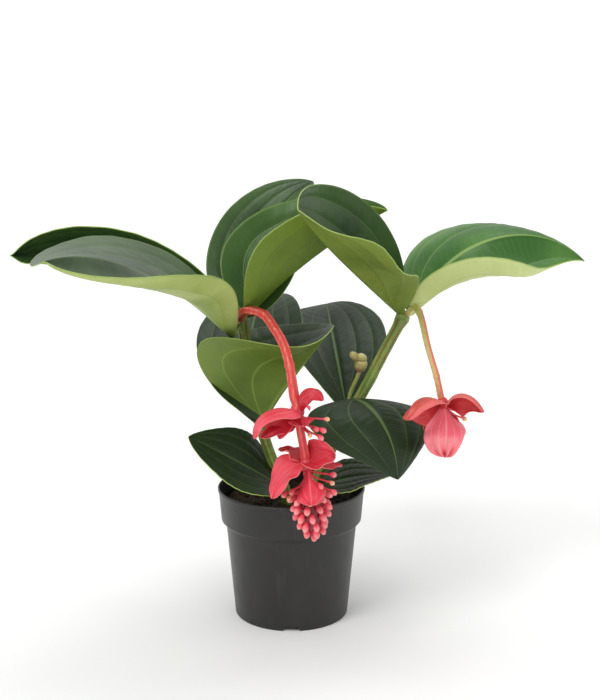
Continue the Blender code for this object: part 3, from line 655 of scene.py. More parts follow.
# %% The two stems
LEFT_STEM = [
    (-0.005, -0.013, 0.108), (-0.005, -0.012, 0.134), (-0.008, -0.010, 0.150),
    (-0.014, -0.008, 0.166), (-0.026, -0.004, 0.195), (-0.039, 0.000, 0.239),
    (-0.047, -0.004, 0.295), (-0.056, -0.008, 0.349),
]
RIGHT_STEM = [
    (0.019, 0.000, 0.108), (0.020, 0.000, 0.134), (0.031, 0.002, 0.162),
    (0.048, 0.005, 0.198), (0.068, 0.008, 0.235), (0.085, 0.008, 0.266),
    (0.107, 0.004, 0.311), (0.126, 0.000, 0.349),
]
LEFT_KNOTS = [(-0.0045, -0.018, 0.1545), (-0.039, 0.000, 0.239), (-0.056, -0.008, 0.3485)]
RIGHT_KNOTS = [(0.0225, -0.008, 0.1555), (0.068, 0.008, 0.235), (0.126, 0.000, 0.3485)]
STEM_RADIUS, KNOT_RADIUS, KNOT_REACH, STEM_CORNER = 0.0052, 0.0078, 0.0085, 0.0012


def build_stem(name, points, knots):
    """A ridged tube that swells at each knot, with two scale rings round the upper knots."""
    path = smooth_path(points, 14)

    def radius(t, angle):
        here = path[round(t * (len(path) - 1))]
        near = max(math.exp(-((here - Vector(k)).length / KNOT_REACH) ** 2) for k in knots)
        swell = STEM_RADIUS + (KNOT_RADIUS - STEM_RADIUS) * near
        corner = STEM_CORNER * (1 - 0.5 * near) * math.cos(4 * angle)
        return swell + corner + 0.0002 * noise.noise(here * 160)

    bm = bmesh.new()
    lay_tube(bm, path, radius, 32)
    for k in knots[1:]:
        for turn in (0.0, 0.35):
            lay_ball(bm, Vector(k) + Vector((0, 0, 0.003 - 0.006 * turn)), KNOT_RADIUS * 1.04,
                     (turn, 0.2, 1.0), 0.75, None, 24, 12)
    return new_piece(name + "_skin", bm, (stem_finish,), (name,))


build_stem("stem_left", LEFT_STEM, LEFT_KNOTS)
build_stem("stem_right", RIGHT_STEM, RIGHT_KNOTS)
print("stems: 2")

# %% [markdown]
# ## Flower stalks
# The stalks hang over from the top of each shoot. The left one is thick and coral red with rings
# and small scars. The right one starts yellow-green and turns coral on the way down, first on the
# side that faces right. Two materials joined at a line would show a hard edge, so one finish blends
# its colours along the UV map.

# %% The stalks' paths
LEFT_STALK = [
    (-0.0560, -0.0160, 0.3510), (-0.0540, -0.0280, 0.3580), (-0.0460, -0.0390, 0.3635),
    (-0.0290, -0.0480, 0.3595), (-0.0170, -0.0680, 0.3475), (-0.0070, -0.0850, 0.3330),
    (-0.0010, -0.0970, 0.3140), (0.0020, -0.1050, 0.2980), (0.0040, -0.1100, 0.2840),
    (0.0070, -0.1130, 0.2730), (0.0105, -0.1160, 0.2480), (0.0155, -0.1190, 0.2210),
    (0.0175, -0.1200, 0.2040), (0.0200, -0.1210, 0.1860),
]
LEFT_STALK_SIZE = [1.15, 1.1, 1.1, 1.1, 1.1, 1.1, 1.05, 1.1, 1.2, 1.15, 0.95, 1.0, 0.9, 0.8]
RIGHT_STALK = [
    (0.1315, -0.0085, 0.3545), (0.1345, -0.0150, 0.3615), (0.1380, -0.0230, 0.3640),
    (0.1410, -0.0320, 0.3605), (0.1440, -0.0420, 0.3500), (0.1490, -0.0550, 0.3260),
    (0.1580, -0.0640, 0.2950), (0.1630, -0.0680, 0.2720), (0.1655, -0.0690, 0.2640),
]
RIGHT_STALK_SIZE = [0.95, 0.9, 0.9, 0.9, 0.9, 0.85, 0.85, 0.9, 1.0]
print("stalk points:", len(LEFT_STALK), "and", len(RIGHT_STALK))


# %% Stalk finish
def stalk_finish(name, low, mid, far, turn_at, blush=0.0):
    """Three colours along the stalk; blush brings the last one up the side that faces right."""
    made, tree, shader = new_material(name, 0.48, 0.10, 0.45)
    along, around = skin_map(tree)
    along = maths(tree, "ADD", along, maths(tree, "MULTIPLY_ADD", speckle(tree, 60.0), 0.16, -0.08))
    colour = blend_colours(tree, ramp(tree, along, turn_at - 0.2, turn_at + 0.1), low, mid)
    colour = blend_colours(tree, ramp(tree, along, turn_at + 0.1, 1.0), colour, far)
    if blush:
        facing = add(tree, "ShaderNodeSeparateXYZ")
        tree.links.new(add(tree, "ShaderNodeNewGeometry").outputs["Normal"], facing.inputs[0])
        sunny = times(tree, ramp(tree, facing.outputs[0], 0.1, 0.6), blush)
        sunny = times(tree, sunny, ramp(tree, along, 0.2, 0.5))
        colour = blend_colours(tree, sunny, colour, far)
    # Painted highlight: the five ridges are painted pale pink in streaks, where they catch the light.
    ridge = maths(tree, "COSINE", times(tree, around, 2 * math.pi * 5))
    ridge = maths(tree, "MULTIPLY_ADD", ridge, 0.5, 0.5)
    streak = ramp(tree, speckle(tree, 260.0, 3.0, (1.0, 1.0, 0.12)), 0.45, 0.65)
    ridge = times(tree, ridge, maths(tree, "MULTIPLY_ADD", streak, 0.5, 0.2))
    colour = blend_colours(tree, ridge, colour, linear(240, 150, 124))
    scars = ramp(tree, speckle(tree, 150.0, 2.0, (1.0, 1.0, 2.6)), 0.63, 0.70)
    colour = blend_colours(tree, times(tree, scars, 0.6), colour, linear(150, 60, 52))
    fine = speckle(tree, 500.0, 2.0)
    rough = maths(tree, "MULTIPLY_ADD", fine, 0.2, 0.38)
    height = maths(tree, "SUBTRACT", times(tree, fine, 0.4), scars)
    connect(tree, shader, colour, rough, height, 0.5, 0.0004)
    return made


stalk_left_finish = stalk_finish("stalk_coral", linear(186, 66, 48), linear(212, 58, 58),
                                 linear(228, 58, 76), 0.25)
stalk_right_finish = stalk_finish("stalk_green_to_coral", linear(186, 200, 112),
                                  linear(214, 196, 128), linear(232, 92, 92), 0.62, 0.8)
print("stalk finishes ready")


# %% The two stalks
STALK_STEPS, STALK_RIDGES, RIDGE_HEIGHT, RING_REACH = 10, 5, 0.00045, 0.0022


def build_stalk(name, points, sizes, thick, joints, finish):
    """A ridged tube with a size at each point, and a ring at each joint."""
    path = smooth_path(points, STALK_STEPS)

    def radius(t, angle):
        f = t * (len(sizes) - 1)
        i = min(int(f), len(sizes) - 2)
        size = sizes[i] + (sizes[i + 1] - sizes[i]) * (f - i)
        here = path[round(t * (len(path) - 1))]
        ring = sum(math.exp(-((here - path[j * STALK_STEPS]).length / RING_REACH) ** 2)
                   for j in joints)
        ridge = RIDGE_HEIGHT * math.cos(STALK_RIDGES * angle)
        return thick * size * (1 + 0.16 * ring) + ridge

    bm = bmesh.new()
    lay_tube(bm, path, radius, 30)
    return new_piece(name + "_skin", bm, (finish,), (name,))


build_stalk("bloom_left_stalk", LEFT_STALK, LEFT_STALK_SIZE, 0.0044, (3, 6, 9, 11),
            stalk_left_finish)
build_stalk("bloom_right_stalk", RIGHT_STALK, RIGHT_STALK_SIZE, 0.0038, (3, 6),
            stalk_right_finish)
print("stalks: 2")

# %% [markdown]
# ## Bracts
# The coloured leaves of the flower heads are thin, veined and a little wavy. Outside they are
# coral pink with lighter veins. Inside they are a deeper red, which is painted shade in their hollow.
# On the right flower the outer pair is tawnier and the bell paler. A new vein pattern isn't
# needed: they use the leaves' vein map with other numbers.

# %% Bract materials
def bract_face(name, deep, light, vein, roughness, count=18.0, vein_amount=0.4):
    """One side of a bract; count is how many cross veins it has from foot to tip."""
    made, tree, shader = new_material(name, roughness, 0.06, 0.4)
    group = add(tree, "ShaderNodeGroup", node_tree=veins)
    for key, value in (("Inner Reach", 0.36), ("Outer Reach", 0.68), ("Line Width", 0.034),
                       ("Cross Count", count)):
        group.inputs[key].default_value = value
    mottle = ramp(tree, speckle(tree, 45.0, 3.0), 0.35, 0.68)
    fine = speckle(tree, 700.0, 2.0)
    colour = blend_colours(tree, times(tree, mottle, 0.6), deep, light)
    near_edge = ramp(tree, group.outputs["Across"], 0.55, 1.0, 0.0, 0.45)
    colour = blend_colours(tree, near_edge, colour, light)
    lines = maths(tree, "MAXIMUM", group.outputs["Midrib"], group.outputs["Side Veins"])
    cross = times(tree, group.outputs["Cross Veins"], 0.35)
    lines = maths(tree, "MAXIMUM", lines, cross)
    colour = blend_colours(tree, times(tree, lines, vein_amount), colour, vein)
    rough = maths(tree, "MULTIPLY_ADD", fine, 0.14, roughness - 0.07)
    height = maths(tree, "MULTIPLY_ADD", lines, 0.8, times(tree, fine, 0.15))
    connect(tree, shader, colour, rough, height, 0.5, 0.0004)
    return made


bract_rim = bract_face("bract_rim", linear(222, 96, 104), linear(236, 138, 132),
                       linear(240, 156, 146), 0.5, vein_amount=0.55)
pink_out = bract_face("bract_pink_outside", linear(224, 48, 72), linear(244, 96, 112),
                      linear(250, 146, 146), 0.40)
# Painted shade: the inside finishes are the outside colours made a deeper red, for the shade inside
# the bracts.
pink_in_painted_shade = bract_face("bract_pink_inside_painted_shade", linear(196, 36, 54), linear(222, 60, 74),
                     linear(236, 96, 98), 0.44)
tawny_out = bract_face("bract_tawny_outside", linear(206, 78, 70), linear(240, 116, 118),
                       linear(176, 96, 56), 0.46, 16.0, 0.45)
red_in_painted_shade = bract_face("bract_red_inside_painted_shade", linear(196, 48, 56), linear(226, 80, 82),
                      linear(240, 116, 104), 0.46)
pale_out = bract_face("bell_pale_outside", linear(240, 92, 112), linear(252, 156, 160),
                      linear(253, 196, 186), 0.42, vein_amount=0.35)
print("bract finishes ready")

# %% [markdown]
# ## Buds
# Each bud is a ball drawn in toward its foot, like a small pear, with a paler tip. The florets
# that are opening show a cream tip. About sixty buds are too many to sculpt, and a ball with a
# waist that changes from foot to tip gives the shape with few faces. Its UV map holds the way from
# foot to tip, so the colours follow it whichever way the bud points.

# %% Bud materials and shape
def bud_finish(name, foot, body, tip, tip_from=0.55, shine=0.25):
    """Three colours from foot to tip; tip_from is where the tip's colour begins."""
    made, tree, shader = new_material(name, 0.36, shine, 0.5)
    up, _ = skin_map(tree)
    up = maths(tree, "ADD", up, maths(tree, "MULTIPLY_ADD", speckle(tree, 300.0), 0.3, -0.15))
    colour = blend_colours(tree, ramp(tree, up, 0.05, 0.45), foot, body)
    colour = blend_colours(tree, ramp(tree, up, tip_from, 1.0), colour, tip)
    shade = ramp(tree, speckle(tree, 55.0, 2.0), 0.35, 0.65, 0.0, 0.30)
    colour = blend_colours(tree, shade, colour, foot)
    fine = speckle(tree, 900.0, 2.0)
    rough = maths(tree, "MULTIPLY_ADD", fine, 0.2, 0.27)
    connect(tree, shader, colour, rough, fine, 0.3, 0.0002)
    return made


bud_skin = bud_finish("bud_skin", linear(214, 42, 66), linear(242, 84, 104),
                      linear(250, 156, 152), 0.45)
floret_skin = bud_finish("floret_skin", linear(226, 110, 104), linear(236, 150, 128),
                         linear(240, 214, 150), 0.45)
pedicel_skin = bud_finish("pedicel_skin", linear(190, 36, 54), linear(208, 48, 66),
                          linear(226, 72, 84))
# Painted shade: the core is a dark red that stands for the shade between the buds.
core_painted_shade = bud_finish("core_painted_shade", linear(112, 16, 28), linear(130, 22, 36), linear(150, 32, 46))
BUD_RADIUS = 0.0034


def pear(t):
    """The waist of a bud: narrow at its foot, full above, and a little less at the tip."""
    return 0.42 + 0.66 * min(1.0, t * 1.5) - 0.16 * t * t


def lay_bud(bm, place, aim, size, long=1.4, material_index=0):
    lay_ball(bm, place, size, aim, long, pear, 14, 10, material_index)


print("bud finishes ready")

# %% [markdown]
# ## Where the bracts and buds grow
# The left flower has two whorls of bracts with side buds below each. The right one has two arched
# outer bracts and a closed bell. Each bract is a blade with its own numbers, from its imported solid.
# Some are drawn wider than the solid, because a finer skin can fill the whorl without touching.

# %% The whorls' numbers
UPPER_WHORL = [
    ("curled", Blade((0.0100, -0.1170, 0.268), 0.056, 0.034, -27, 112, 196, -7, 10, -2,
                     left=(-20, -20, -40), right=(-35, -28, -46), peak=0.88, root=0.005)),
    ("hooded", Blade((0.0040, -0.1170, 0.268), 0.067, 0.058, 210, 32, 140, -19, 25, -18,
                     left=(-16, -9, -44), right=(-84, 3, -40), peak=0.55, root=0.005)),
    ("behind", Blade((0.0050, -0.1120, 0.266), 0.047, 0.040, 200, -8, 52, 8, 0, 0,
                     left=(-20, -10, -30), right=(-20, -10, -30), peak=0.75, root=0.005)),
    ("front", Blade((0.0070, -0.1190, 0.266), 0.026, 0.024, -75, 10, 60, 0, 0, 0,
                    left=(-10, -10, -30), right=(-10, -10, -30), peak=0.80, root=0.005)),
]
LOWER_WHORL = [
    ("right", Blade((0.0200, -0.1230, 0.212), 0.034, 0.043, -34, 37, 28, 11, 21, 15,
                    left=(40, 47, 33), right=(30, -20, 14), peak=0.67, root=0.005)),
    ("left", Blade((0.0120, -0.1220, 0.213), 0.052, 0.034, 205, -9, 79, 3, -6, 1,
                   left=(31, -22, -14), right=(40, -16, -8), peak=0.62, root=0.005)),
    ("behind_left", Blade((0.0130, -0.1170, 0.214), 0.032, 0.026, 150, 45, 60, 0, 0, 0,
                          left=(0, 0, 20), right=(0, 0, 20), peak=0.75, root=0.005)),
    ("behind_right", Blade((0.0190, -0.1170, 0.211), 0.040, 0.026, 25, 5, 30, 0, 0, 0,
                           left=(0, 0, -20), right=(0, 0, -20), peak=0.75, root=0.005)),
]
FRONT_BRACT = Blade((0.0185, -0.1255, 0.207), 0.040, 0.037, -80, -42, 13, -6, 4, 0,
                    left=(-50, 7, -40), right=(-50, 0, -47), peak=0.98, root=0.0035)
RIGHT_WHORL = [
    ("left", Blade((0.1620, -0.0710, 0.265), 0.067, 0.063, 210, 40, 111, 30, 30, -8,
                   left=(-31, 11, -46), right=(-82, -4, -32), peak=0.84, root=0.004)),
    ("right", Blade((0.1690, -0.0720, 0.265), 0.064, 0.051, -49, 54, 122, 0, -30, -5,
                    left=(-65, -29, -45), right=(-43, 17, -46), peak=0.92, root=0.004)),
]
RIGHT_BELL = [
    ("front", Blade((0.1665, -0.0715, 0.2620), 0.061, 0.050, -75, -54, 92, -26, -4, 3,
                    left=(-10, 20, -47), right=(3, 17, -38), peak=0.99, root=0.005)),
    ("back", Blade((0.1665, -0.0665, 0.2620), 0.057, 0.048, 75, -54, 80, 0, 0, 0,
                   left=(-5, 18, -45), right=(-5, 18, -45), peak=0.99, root=0.005)),
]
# Where each side bud sits, below its whorl
UPPER_BUDS = [
    (0.0375, -0.1230, 0.2620), (0.0335, -0.1260, 0.2510), (0.0310, -0.1290, 0.2440),
    (0.0200, -0.1290, 0.2470), (0.0260, -0.1240, 0.2520),
]
LOWER_BUDS = [
    (0.0440, -0.1270, 0.2030), (0.0430, -0.1300, 0.1950), (0.0310, -0.1340, 0.1930),
    (0.0450, -0.1300, 0.1850), (0.0020, -0.1290, 0.1850), (-0.0010, -0.1290, 0.1780),
    (-0.0060, -0.1260, 0.1810),
]
BELL_BUDS = [(0.1840, -0.0800, 0.2590), (0.1870, -0.0810, 0.2520)]
print("side buds:", len(UPPER_BUDS) + len(LOWER_BUDS) + len(BELL_BUDS))

# %% [markdown]
# ## A whorl
# On the real plant the bracts of a whorl grow from one swollen knot, and the side buds hang from it
# on thin stalks that run down beside the main stalk before they turn out. The bracts and the buds
# are two pieces, because only the bracts get a wall from the Solidify modifier.

# %% Helper that builds a whorl
BRACT_GRID, BRACT_THICKNESS, PEDICEL_RADIUS = (48, 36), 0.0008, 0.0010
SOFT_HEM, LOOSE_HEM = 0.0020, 0.006
USUAL_FULLNESS = 1.12
FULLER = {"curled": 1.5, "left": 1.2, "front": 1.15}


def lay_side_bud(bm, root, end, opening):
    """A bud on its thin stalk, which runs down first and then out."""
    middle = root.lerp(end, 0.30)
    middle.z = root.z + 0.62 * (end.z - root.z)
    lay_tube(bm, smooth_path([root, middle, end], 5), lambda t, a: PEDICEL_RADIUS, 10, 0)
    if opening:
        lay_bud(bm, end, end - root, BUD_RADIUS * 0.82, 1.35, 2)
    else:
        lay_bud(bm, end, end - root, BUD_RADIUS, 1.35, 1)


def build_bracts(name, blades, faces, node, knot, buds, bud_root, florets):
    """A whorl; faces gives each bract's two finishes, and florets the buds that are opening."""
    bell = name == "bloom_right_bracts"
    materials = []
    bm = bmesh.new()
    for (tag, spec), (upper, lower) in zip(blades, faces):
        spec.wave, spec.relief, spec.tip, spec.sharp = 0.0022, 0.00035, 0.0010, -0.28
        spec.width *= 1.0 if bell else FULLER.get(tag, USUAL_FULLNESS)
        spec.frill = LOOSE_HEM if bell and tag in ("front", "back") else SOFT_HEM
        lay_blade(bm, spec, BRACT_GRID, len(materials))
        materials += [upper, lower, bract_rim]
    bracts = new_piece(name + "_skin", bm, materials, (name,))
    give_thickness(bracts, BRACT_THICKNESS)
    bm = bmesh.new()
    lay_ball(bm, node, knot, (0, 0, 1), 1.15, None, 28, 18, 0)
    for i, place in enumerate(buds):
        lay_side_bud(bm, Vector(bud_root), Vector(place), i in florets)
    new_piece(name + "_buds_skin", bm, (pedicel_skin, bud_skin, floret_skin), (name,))


print("whorl helper ready")

# %% The three whorls
# The first finish of each pair is the upper face; the inside finishes carry painted shade.
shaded_upper_face, light_face = (pink_in_painted_shade, pink_out), (pink_out, pink_in_painted_shade)
outer_face, bell_face = (tawny_out, red_in_painted_shade), (pale_out, red_in_painted_shade)
build_bracts("bloom_left_upper_bracts", UPPER_WHORL,
             [shaded_upper_face, light_face, shaded_upper_face, shaded_upper_face],
             (0.0070, -0.1135, 0.2680), 0.0078, UPPER_BUDS, (0.0095, -0.1190, 0.2640), (0, 3))
build_bracts("bloom_left_lower_bracts", LOWER_WHORL + [("front", FRONT_BRACT)],
             [shaded_upper_face, light_face, shaded_upper_face, shaded_upper_face, light_face],
             (0.0165, -0.1195, 0.2120), 0.0076, LOWER_BUDS, (0.0180, -0.1240, 0.2080), (1, 5))
build_bracts("bloom_right_bracts", RIGHT_WHORL + RIGHT_BELL,
             [outer_face, outer_face, bell_face, bell_face],
             (0.1650, -0.0690, 0.2660), 0.0064, BELL_BUDS, (0.1680, -0.0720, 0.2640), (0, 1))
print("bracts:", len(UPPER_WHORL) + len(LOWER_WHORL) + 1 + len(RIGHT_WHORL) + len(RIGHT_BELL))

# %% [markdown]
# ## The closed head of buds
# About forty buds sit in rows round the end of the stalk, like grains on a cob, with a core
# painted dark red as shade between them. They could be scattered at random, but the rows of the
# real head are regular. The rows and the seed are those of the imported solid, so the finer buds
# cover the same places.

# %% The head of buds
CLUSTER_TOP = Vector((0.0200, -0.1210, 0.1820))
CLUSTER_FOOT = Vector((0.0255, -0.1210, 0.1330))
CORE_RADIUS, CLUSTER_PEDICEL = 0.0118, 0.0011
# How far down the head each row is, how many buds it has, and how far out they sit
CLUSTER_ROWS = [(0.10, 8, 0.0195), (0.30, 9, 0.0183), (0.50, 8, 0.0165), (0.70, 7, 0.0135),
                (0.88, 5, 0.0090), (1.00, 1, 0.0)]
random.seed(7)
axis = CLUSTER_FOOT - CLUSTER_TOP
down_the_axis = axis.normalized()
across = down_the_axis.cross(Vector((0, 1, 0))).normalized()
other = down_the_axis.cross(across)
bm = bmesh.new()
# The core ball, painted dark red as the shade between the buds.
lay_ball(bm, CLUSTER_TOP.lerp(CLUSTER_FOOT, 0.48), CORE_RADIUS, axis, 1.9, None, 28, 20, 2)
for row, (down, count, reach) in enumerate(CLUSTER_ROWS):
    for i in range(count):
        a = 2 * math.pi * (i + 0.5 * (row % 2)) / count + random.uniform(-0.06, 0.06)
        way = across * math.cos(a) + other * math.sin(a)
        foot = CLUSTER_TOP.lerp(CLUSTER_FOOT, down)
        place = foot + way * (reach * random.uniform(0.95, 1.03))
        aim = way * (1.0 - 0.6 * down) + down_the_axis * (0.45 + down)
        root = foot + axis * 0.06
        lay_tube(bm, smooth_path([root, root.lerp(place, 0.5), place], 3),
                 lambda t, a: CLUSTER_PEDICEL, 8, 0)
        size = BUD_RADIUS * (1.12 + 0.12 * noise.noise(place * 300))
        lay_bud(bm, place - aim.normalized() * 0.0006, aim, size, 1.75, 1)
new_piece("bloom_left_buds_skin", bm, (pedicel_skin, bud_skin, core_painted_shade),
          ("bloom_left_buds",))
print("buds in the head:", sum(count for _, count, _ in CLUSTER_ROWS))

# %% [markdown]
# ## The young bud
# A flower bud that is only starting stands on a short yellow-green stalk between the shoots. Its
# scales are still folded together. Three balls that run into one another give that lumpy outline,
# and the ball and tube helpers are all it needs.

# %% The young bud
young_skin = bud_finish("young_bud_skin", linear(150, 96, 74), linear(150, 148, 78),
                        linear(196, 190, 128), 0.40, 0.1)
young_stalk_skin = bud_finish("young_stalk_skin", linear(132, 146, 62), linear(150, 160, 74),
                              linear(176, 150, 92))
YOUNG_STALK = [(0.0660, 0.0130, 0.2400), (0.0670, 0.0100, 0.2560), (0.0715, 0.0080, 0.2690),
               (0.0760, 0.0070, 0.2800), (0.0785, 0.0060, 0.2890)]
# Where each lobe is, its radius, which way it points, how long it is, and its columns and rows
YOUNG_LOBES = [
    ((0.0795, 0.0055, 0.2930), 0.0072, (0.36, 0, 1), 1.2, (24, 16)),
    ((0.0800, 0.0050, 0.3010), 0.0064, (0.36, 0, 1), 0.9, (24, 16)),
    ((0.0725, 0.0045, 0.3030), 0.0048, (-1.19, 0, 1), 1.5, (20, 14)),
]
bm = bmesh.new()
lay_tube(bm, smooth_path(YOUNG_STALK, 8), lambda t, a: 0.0021 + 0.0002 * math.cos(4 * a), 18, 1)
for place, radius, aim, long, (columns, rows) in YOUNG_LOBES:
    lay_ball(bm, place, radius, aim, long, None, columns, rows, 0)
new_piece("young_bud_skin", bm, (young_skin, young_stalk_skin), ("young_bud_shoot",))
print("lobes of the young bud:", len(YOUNG_LOBES))

# %% [markdown]
# ## The pot
# A thin moulded pot: a rolled lip, a straight collar, a step, a tapering wall and a foot ring with
# four notches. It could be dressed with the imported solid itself, but that has fewer columns and
# its rim would look faceted. So the same section is turned again, finely and with soft corners: a
# grid is wrapped round it, and the notches and drain holes are cut with plain blocks and rods. The
# black plastic is a little worn, with soft streaks, dust and fine scuffs.

# %% Pot material
def pot_finish():
    made, tree, shader = new_material("moulded_black_plastic", 0.42, 0.0, 0.5)
    soft = speckle(tree, 9.0, 3.0, (1.0, 1.0, 0.35))
    fine = speckle(tree, 900.0, 2.0)
    scuff = ramp(tree, speckle(tree, 120.0, 5.0, (1.0, 1.0, 0.2)), 0.60, 0.72, 0.0, 0.35)
    dust = ramp(tree, speckle(tree, 35.0, 6.0), 0.50, 0.75, 0.0, 0.30)
    colour = blend_colours(tree, soft, linear(22, 21, 20), linear(36, 35, 33))
    colour = blend_colours(tree, dust, colour, linear(62, 57, 51))
    colour = blend_colours(tree, scuff, colour, linear(56, 54, 52))
    rough = maths(tree, "MULTIPLY_ADD", soft, 0.14, 0.34)
    rough = maths(tree, "ADD", rough, times(tree, dust, 0.5))
    height = maths(tree, "MULTIPLY_ADD", soft, 1.5, times(tree, fine, 0.12))
    connect(tree, shader, colour, rough, height, 0.35, 0.0009)
    return made


black_plastic = pot_finish()
print("pot finish:", black_plastic.name)

# %% The pot's section, from the middle of the floor up and over the rim and down to the pad
RIM_RADIUS, POT_HEIGHT, LIP_DROP, COLLAR_DROP = 0.085, 0.152, 0.004, 0.038
COLLAR_FOOT_RADIUS, BODY_TOP_RADIUS, BASE_RADIUS = 0.0812, 0.0755, 0.0655
POT_WALL, FOOT_HEIGHT, FOOT_WIDTH, PAD_RADIUS = 0.0016, 0.006, 0.004, 0.012
NOTCH_WIDTH, DRAIN_CIRCLE, DRAIN_RADIUS = 0.023, 0.046, 0.004
FLOOR = FOOT_HEIGHT + POT_WALL
SECTION = [
    (0.0, FLOOR), (BASE_RADIUS - POT_WALL - 0.001, FLOOR), (BASE_RADIUS - POT_WALL, FLOOR + 0.001),
    (BODY_TOP_RADIUS - POT_WALL, POT_HEIGHT - COLLAR_DROP - 0.006 + POT_WALL),
    (COLLAR_FOOT_RADIUS - POT_WALL, POT_HEIGHT - COLLAR_DROP + POT_WALL),
    (RIM_RADIUS - 0.0008 - POT_WALL, POT_HEIGHT - LIP_DROP),
    (RIM_RADIUS - 0.0018, POT_HEIGHT - 0.0004), (RIM_RADIUS - 0.0009, POT_HEIGHT),
    (RIM_RADIUS, POT_HEIGHT - 0.0008), (RIM_RADIUS, POT_HEIGHT - LIP_DROP),
    (RIM_RADIUS - 0.0010, POT_HEIGHT - LIP_DROP - 0.0006),
    (COLLAR_FOOT_RADIUS, POT_HEIGHT - COLLAR_DROP),
    (BODY_TOP_RADIUS, POT_HEIGHT - COLLAR_DROP - 0.006),
    (BASE_RADIUS + 0.0002, 0.001), (BASE_RADIUS - 0.0006, 0.0), (BASE_RADIUS - FOOT_WIDTH, 0.0),
    (BASE_RADIUS - FOOT_WIDTH - 0.001, FOOT_HEIGHT), (PAD_RADIUS + 0.001, FOOT_HEIGHT),
    (PAD_RADIUS, 0.0), (0.0, 0.0),
]
CORNER_SOFTNESS = 0.0005
print("points on the section:", len(SECTION))


# %% The turned pot
POT_COLUMNS, NOTCHES, DRAINS = 192, 4, 8
NOTCH_DEPTH, NOTCH_HEIGHT, SHARP_FROM = 0.016, 0.010, 35


def soften(section):
    """Swaps each corner for a short arc of three points."""
    out = [Vector(section[0])]
    for a, b, c in zip(section, section[1:], section[2:]):
        a, b, c = Vector(a), Vector(b), Vector(c)
        cut = min(CORNER_SOFTNESS, 0.4 * (a - b).length, 0.4 * (c - b).length)
        p, q = b + (a - b).normalized() * cut, b + (c - b).normalized() * cut
        out += [p, (p + q + b * 2) / 4, q]
    return out + [Vector(section[-1])]


def turned_shell(section):
    """A grid wrapped round the section, welded at its seam and in the middle."""
    bm = bmesh.new()
    last = len(section) - 1
    made = bmesh.ops.create_grid(bm, x_segments=last, y_segments=POT_COLUMNS, size=1.0)
    for vert in made["verts"]:
        r, z = section[round((vert.co.x + 1) / 2 * last)]
        angle = math.pi * (vert.co.y + 1)
        vert.co = (r * math.cos(angle), r * math.sin(angle), z)
    bmesh.ops.remove_doubles(bm, verts=bm.verts, dist=1e-6)
    bmesh.ops.recalc_face_normals(bm, faces=bm.faces)
    return bm


def pot_cutters():
    """Tapered blocks for the notches in the foot ring, and rods for the drain holes."""
    bm = bmesh.new()
    for i in range(NOTCHES):
        block = bmesh.ops.create_cube(bm, size=1.0)["verts"]
        for vert in block:
            wide = NOTCH_WIDTH * (0.75 if vert.co.z > 0 else 1.0)
            vert.co = (vert.co.x * wide, vert.co.y * NOTCH_DEPTH - BASE_RADIUS,
                       vert.co.z * NOTCH_HEIGHT + 0.0003)
        turn = Matrix.Rotation(2 * math.pi / NOTCHES * i, 4, "Z")
        bmesh.ops.transform(bm, matrix=turn, verts=block)
    for i in range(DRAINS):
        a = 2 * math.pi / DRAINS * (i + 0.5)
        place = Matrix.Translation((DRAIN_CIRCLE * math.cos(a), DRAIN_CIRCLE * math.sin(a), FLOOR))
        bmesh.ops.create_cone(bm, cap_ends=True, segments=24, radius1=DRAIN_RADIUS,
                              radius2=DRAIN_RADIUS, depth=0.02, matrix=place)
    return mesh_object("pot_cuts", bm)


def build_pot():
    pot = new_piece("pot_skin", turned_shell(soften(SECTION)), (black_plastic,),
                    ("pot",))
    cuts = pot_cutters()
    cut = pot.modifiers.new("cuts", "BOOLEAN")
    cut.operation, cut.solver, cut.object = "DIFFERENCE", "EXACT", cuts
    evaluated = pot.evaluated_get(bpy.context.evaluated_depsgraph_get())
    whole = bpy.data.meshes.new_from_object(evaluated)
    pot.modifiers.clear()
    pot.data = whole
    bpy.data.objects.remove(cuts, do_unlink=True)
    whole.set_sharp_from_angle(angle=math.radians(SHARP_FROM))
    return pot


pot = build_pot()
print("pot faces:", len(pot.data.polygons))

# %% [markdown]
# ## The soil
# The packed soil keeps its place and takes a dark crumbly finish. A bump alone looks flat at the
# rim, where the soil is seen from the side, so crumbs of bark and peat lie on it. There are
# hundreds, so each is a small lumpy ball with few faces, squashed and turned its own way.

# %% Soil material
def soil_finish(name, dark, light, scale, distance):
    """Crumbs in two shades, with wider dark patches."""
    made, tree, shader = new_material(name, 0.92, 0.0, 0.25)
    crumbs = speckle(tree, scale, 8.0)
    wide = speckle(tree, scale / 7, 3.0)
    colour = blend_colours(tree, ramp(tree, crumbs, 0.35, 0.72), dark, light)
    colour = blend_colours(tree, ramp(tree, wide, 0.4, 0.7, 0.0, 0.5), colour, dark)
    rough = ramp(tree, crumbs, 0.2, 0.8, 0.95, 0.75)
    connect(tree, shader, colour, rough, crumbs, 0.9, distance)
    return made


peat = soil_finish("peat", linear(30, 24, 19), linear(74, 58, 44), 260.0, 0.002)
bark = soil_finish("bark_crumb", linear(48, 36, 27), linear(104, 82, 60), 420.0, 0.001)
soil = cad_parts["soil"]
soil.data.materials.clear()
soil.data.materials.append(peat)
print("soil finishes ready")

# %% The crumbs
SOIL_TOP, SOIL_REACH, CRUMBS, LUMPINESS = 0.134, 0.076, 420, 0.18


def jitter():
    """A small push in any direction."""
    return Vector((random.uniform(-1, 1), random.uniform(-1, 1), random.uniform(-1, 1)))


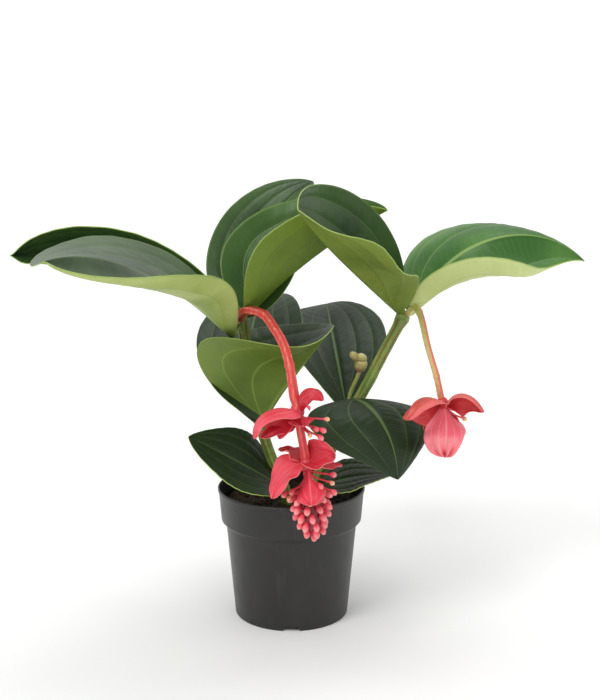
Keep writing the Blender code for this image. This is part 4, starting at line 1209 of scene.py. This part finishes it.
random.seed(21)
bm = bmesh.new()
for i in range(CRUMBS):
    size = random.uniform(0.0010, 0.0030)
    reach, a = SOIL_REACH * math.sqrt(random.random()), random.uniform(0, 2 * math.pi)
    place = Matrix.Translation((reach * math.cos(a), reach * math.sin(a), SOIL_TOP + size * 0.3))
    angle = random.uniform(0, math.pi)
    turn = Matrix.Rotation(angle, 4, Vector((random.random(), random.random(), 1)))
    flat = Matrix.Diagonal((1.0, random.uniform(0.5, 0.9), random.uniform(0.4, 0.8), 1.0))
    lump = bmesh.ops.create_icosphere(bm, subdivisions=1, radius=size, matrix=place @ turn @ flat)
    for vert in lump["verts"]:
        vert.co += jitter() * size * LUMPINESS
new_piece("soil_crumbs", bm, (bark,))
print("crumbs:", CRUMBS)

# %% [markdown]
# ## Floor, light and finish
# The photo has a white ground with almost no shadow. A white sheet that curves up behind the pot
# would do it in a studio. Here a wide pale floor meets a world that is pure white where the camera
# sees it and softer where it lights the plant, so no horizon shows. Sun lamps with a wide angle
# make soft shadows that don't depend on how far away they are.

# %% Floor
FLOOR_REACH = 8.0
floor_paint, floor_tree, floor_shader = new_material("pale_floor", 0.9, 0.0, 0.2)
tint = blend_colours(floor_tree, speckle(floor_tree, 3.0), linear(246, 246, 246),
                     linear(250, 250, 250))
floor_tree.links.new(tint, floor_shader.inputs["Base Color"])
bm = bmesh.new()
bmesh.ops.create_grid(bm, x_segments=2, y_segments=2, size=FLOOR_REACH)
floor = mesh_object("floor", bm)
floor.data.materials.append(floor_paint)
print("floor:", 2 * FLOOR_REACH, "m across")

# %% World
WHITE, AMBIENT, BACKDROP = (1.0, 1.0, 1.0, 1.0), 0.62, 1.1
world = bpy.data.worlds.new("studio")
world.use_nodes = True
sky = world.node_tree
ambient, backdrop = sky.nodes["Background"], add(sky, "ShaderNodeBackground")
for light, strength in ((ambient, AMBIENT), (backdrop, BACKDROP)):
    light.inputs["Color"].default_value = WHITE
    light.inputs["Strength"].default_value = strength
seen = add(sky, "ShaderNodeMixShader")
sky.links.new(add(sky, "ShaderNodeLightPath").outputs["Is Camera Ray"], seen.inputs[0])
sky.links.new(ambient.outputs[0], seen.inputs[1])
sky.links.new(backdrop.outputs[0], seen.inputs[2])
sky.links.new(seen.outputs[0], sky.nodes["World Output"].inputs["Surface"])
bpy.context.scene.world = world
bpy.context.scene.view_settings.view_transform = "Standard"
print("world:", world.name)

# %% Lamps: where each stands, how wide it looks in degrees, and its power
LAMPS = {
    "key_lamp": ((-0.9, -1.1, 1.7), 28.0, 1.25),
    "fill_lamp": ((1.6, -1.3, 1.1), 60.0, 0.35),
    "top_lamp": ((0.2, 0.5, 2.2), 40.0, 0.95),
}
AIM = Vector((0.0, 0.0, 0.28))
for name, (place, spread, power) in LAMPS.items():
    light = bpy.data.lights.new(name, "SUN")
    light.angle, light.energy = math.radians(spread), power
    lamp = into_scene(name, light)
    lamp.location = place
    lamp.rotation_euler = (AIM - Vector(place)).to_track_quat("-Z", "Y").to_euler()
print("lamps:", len(LAMPS))
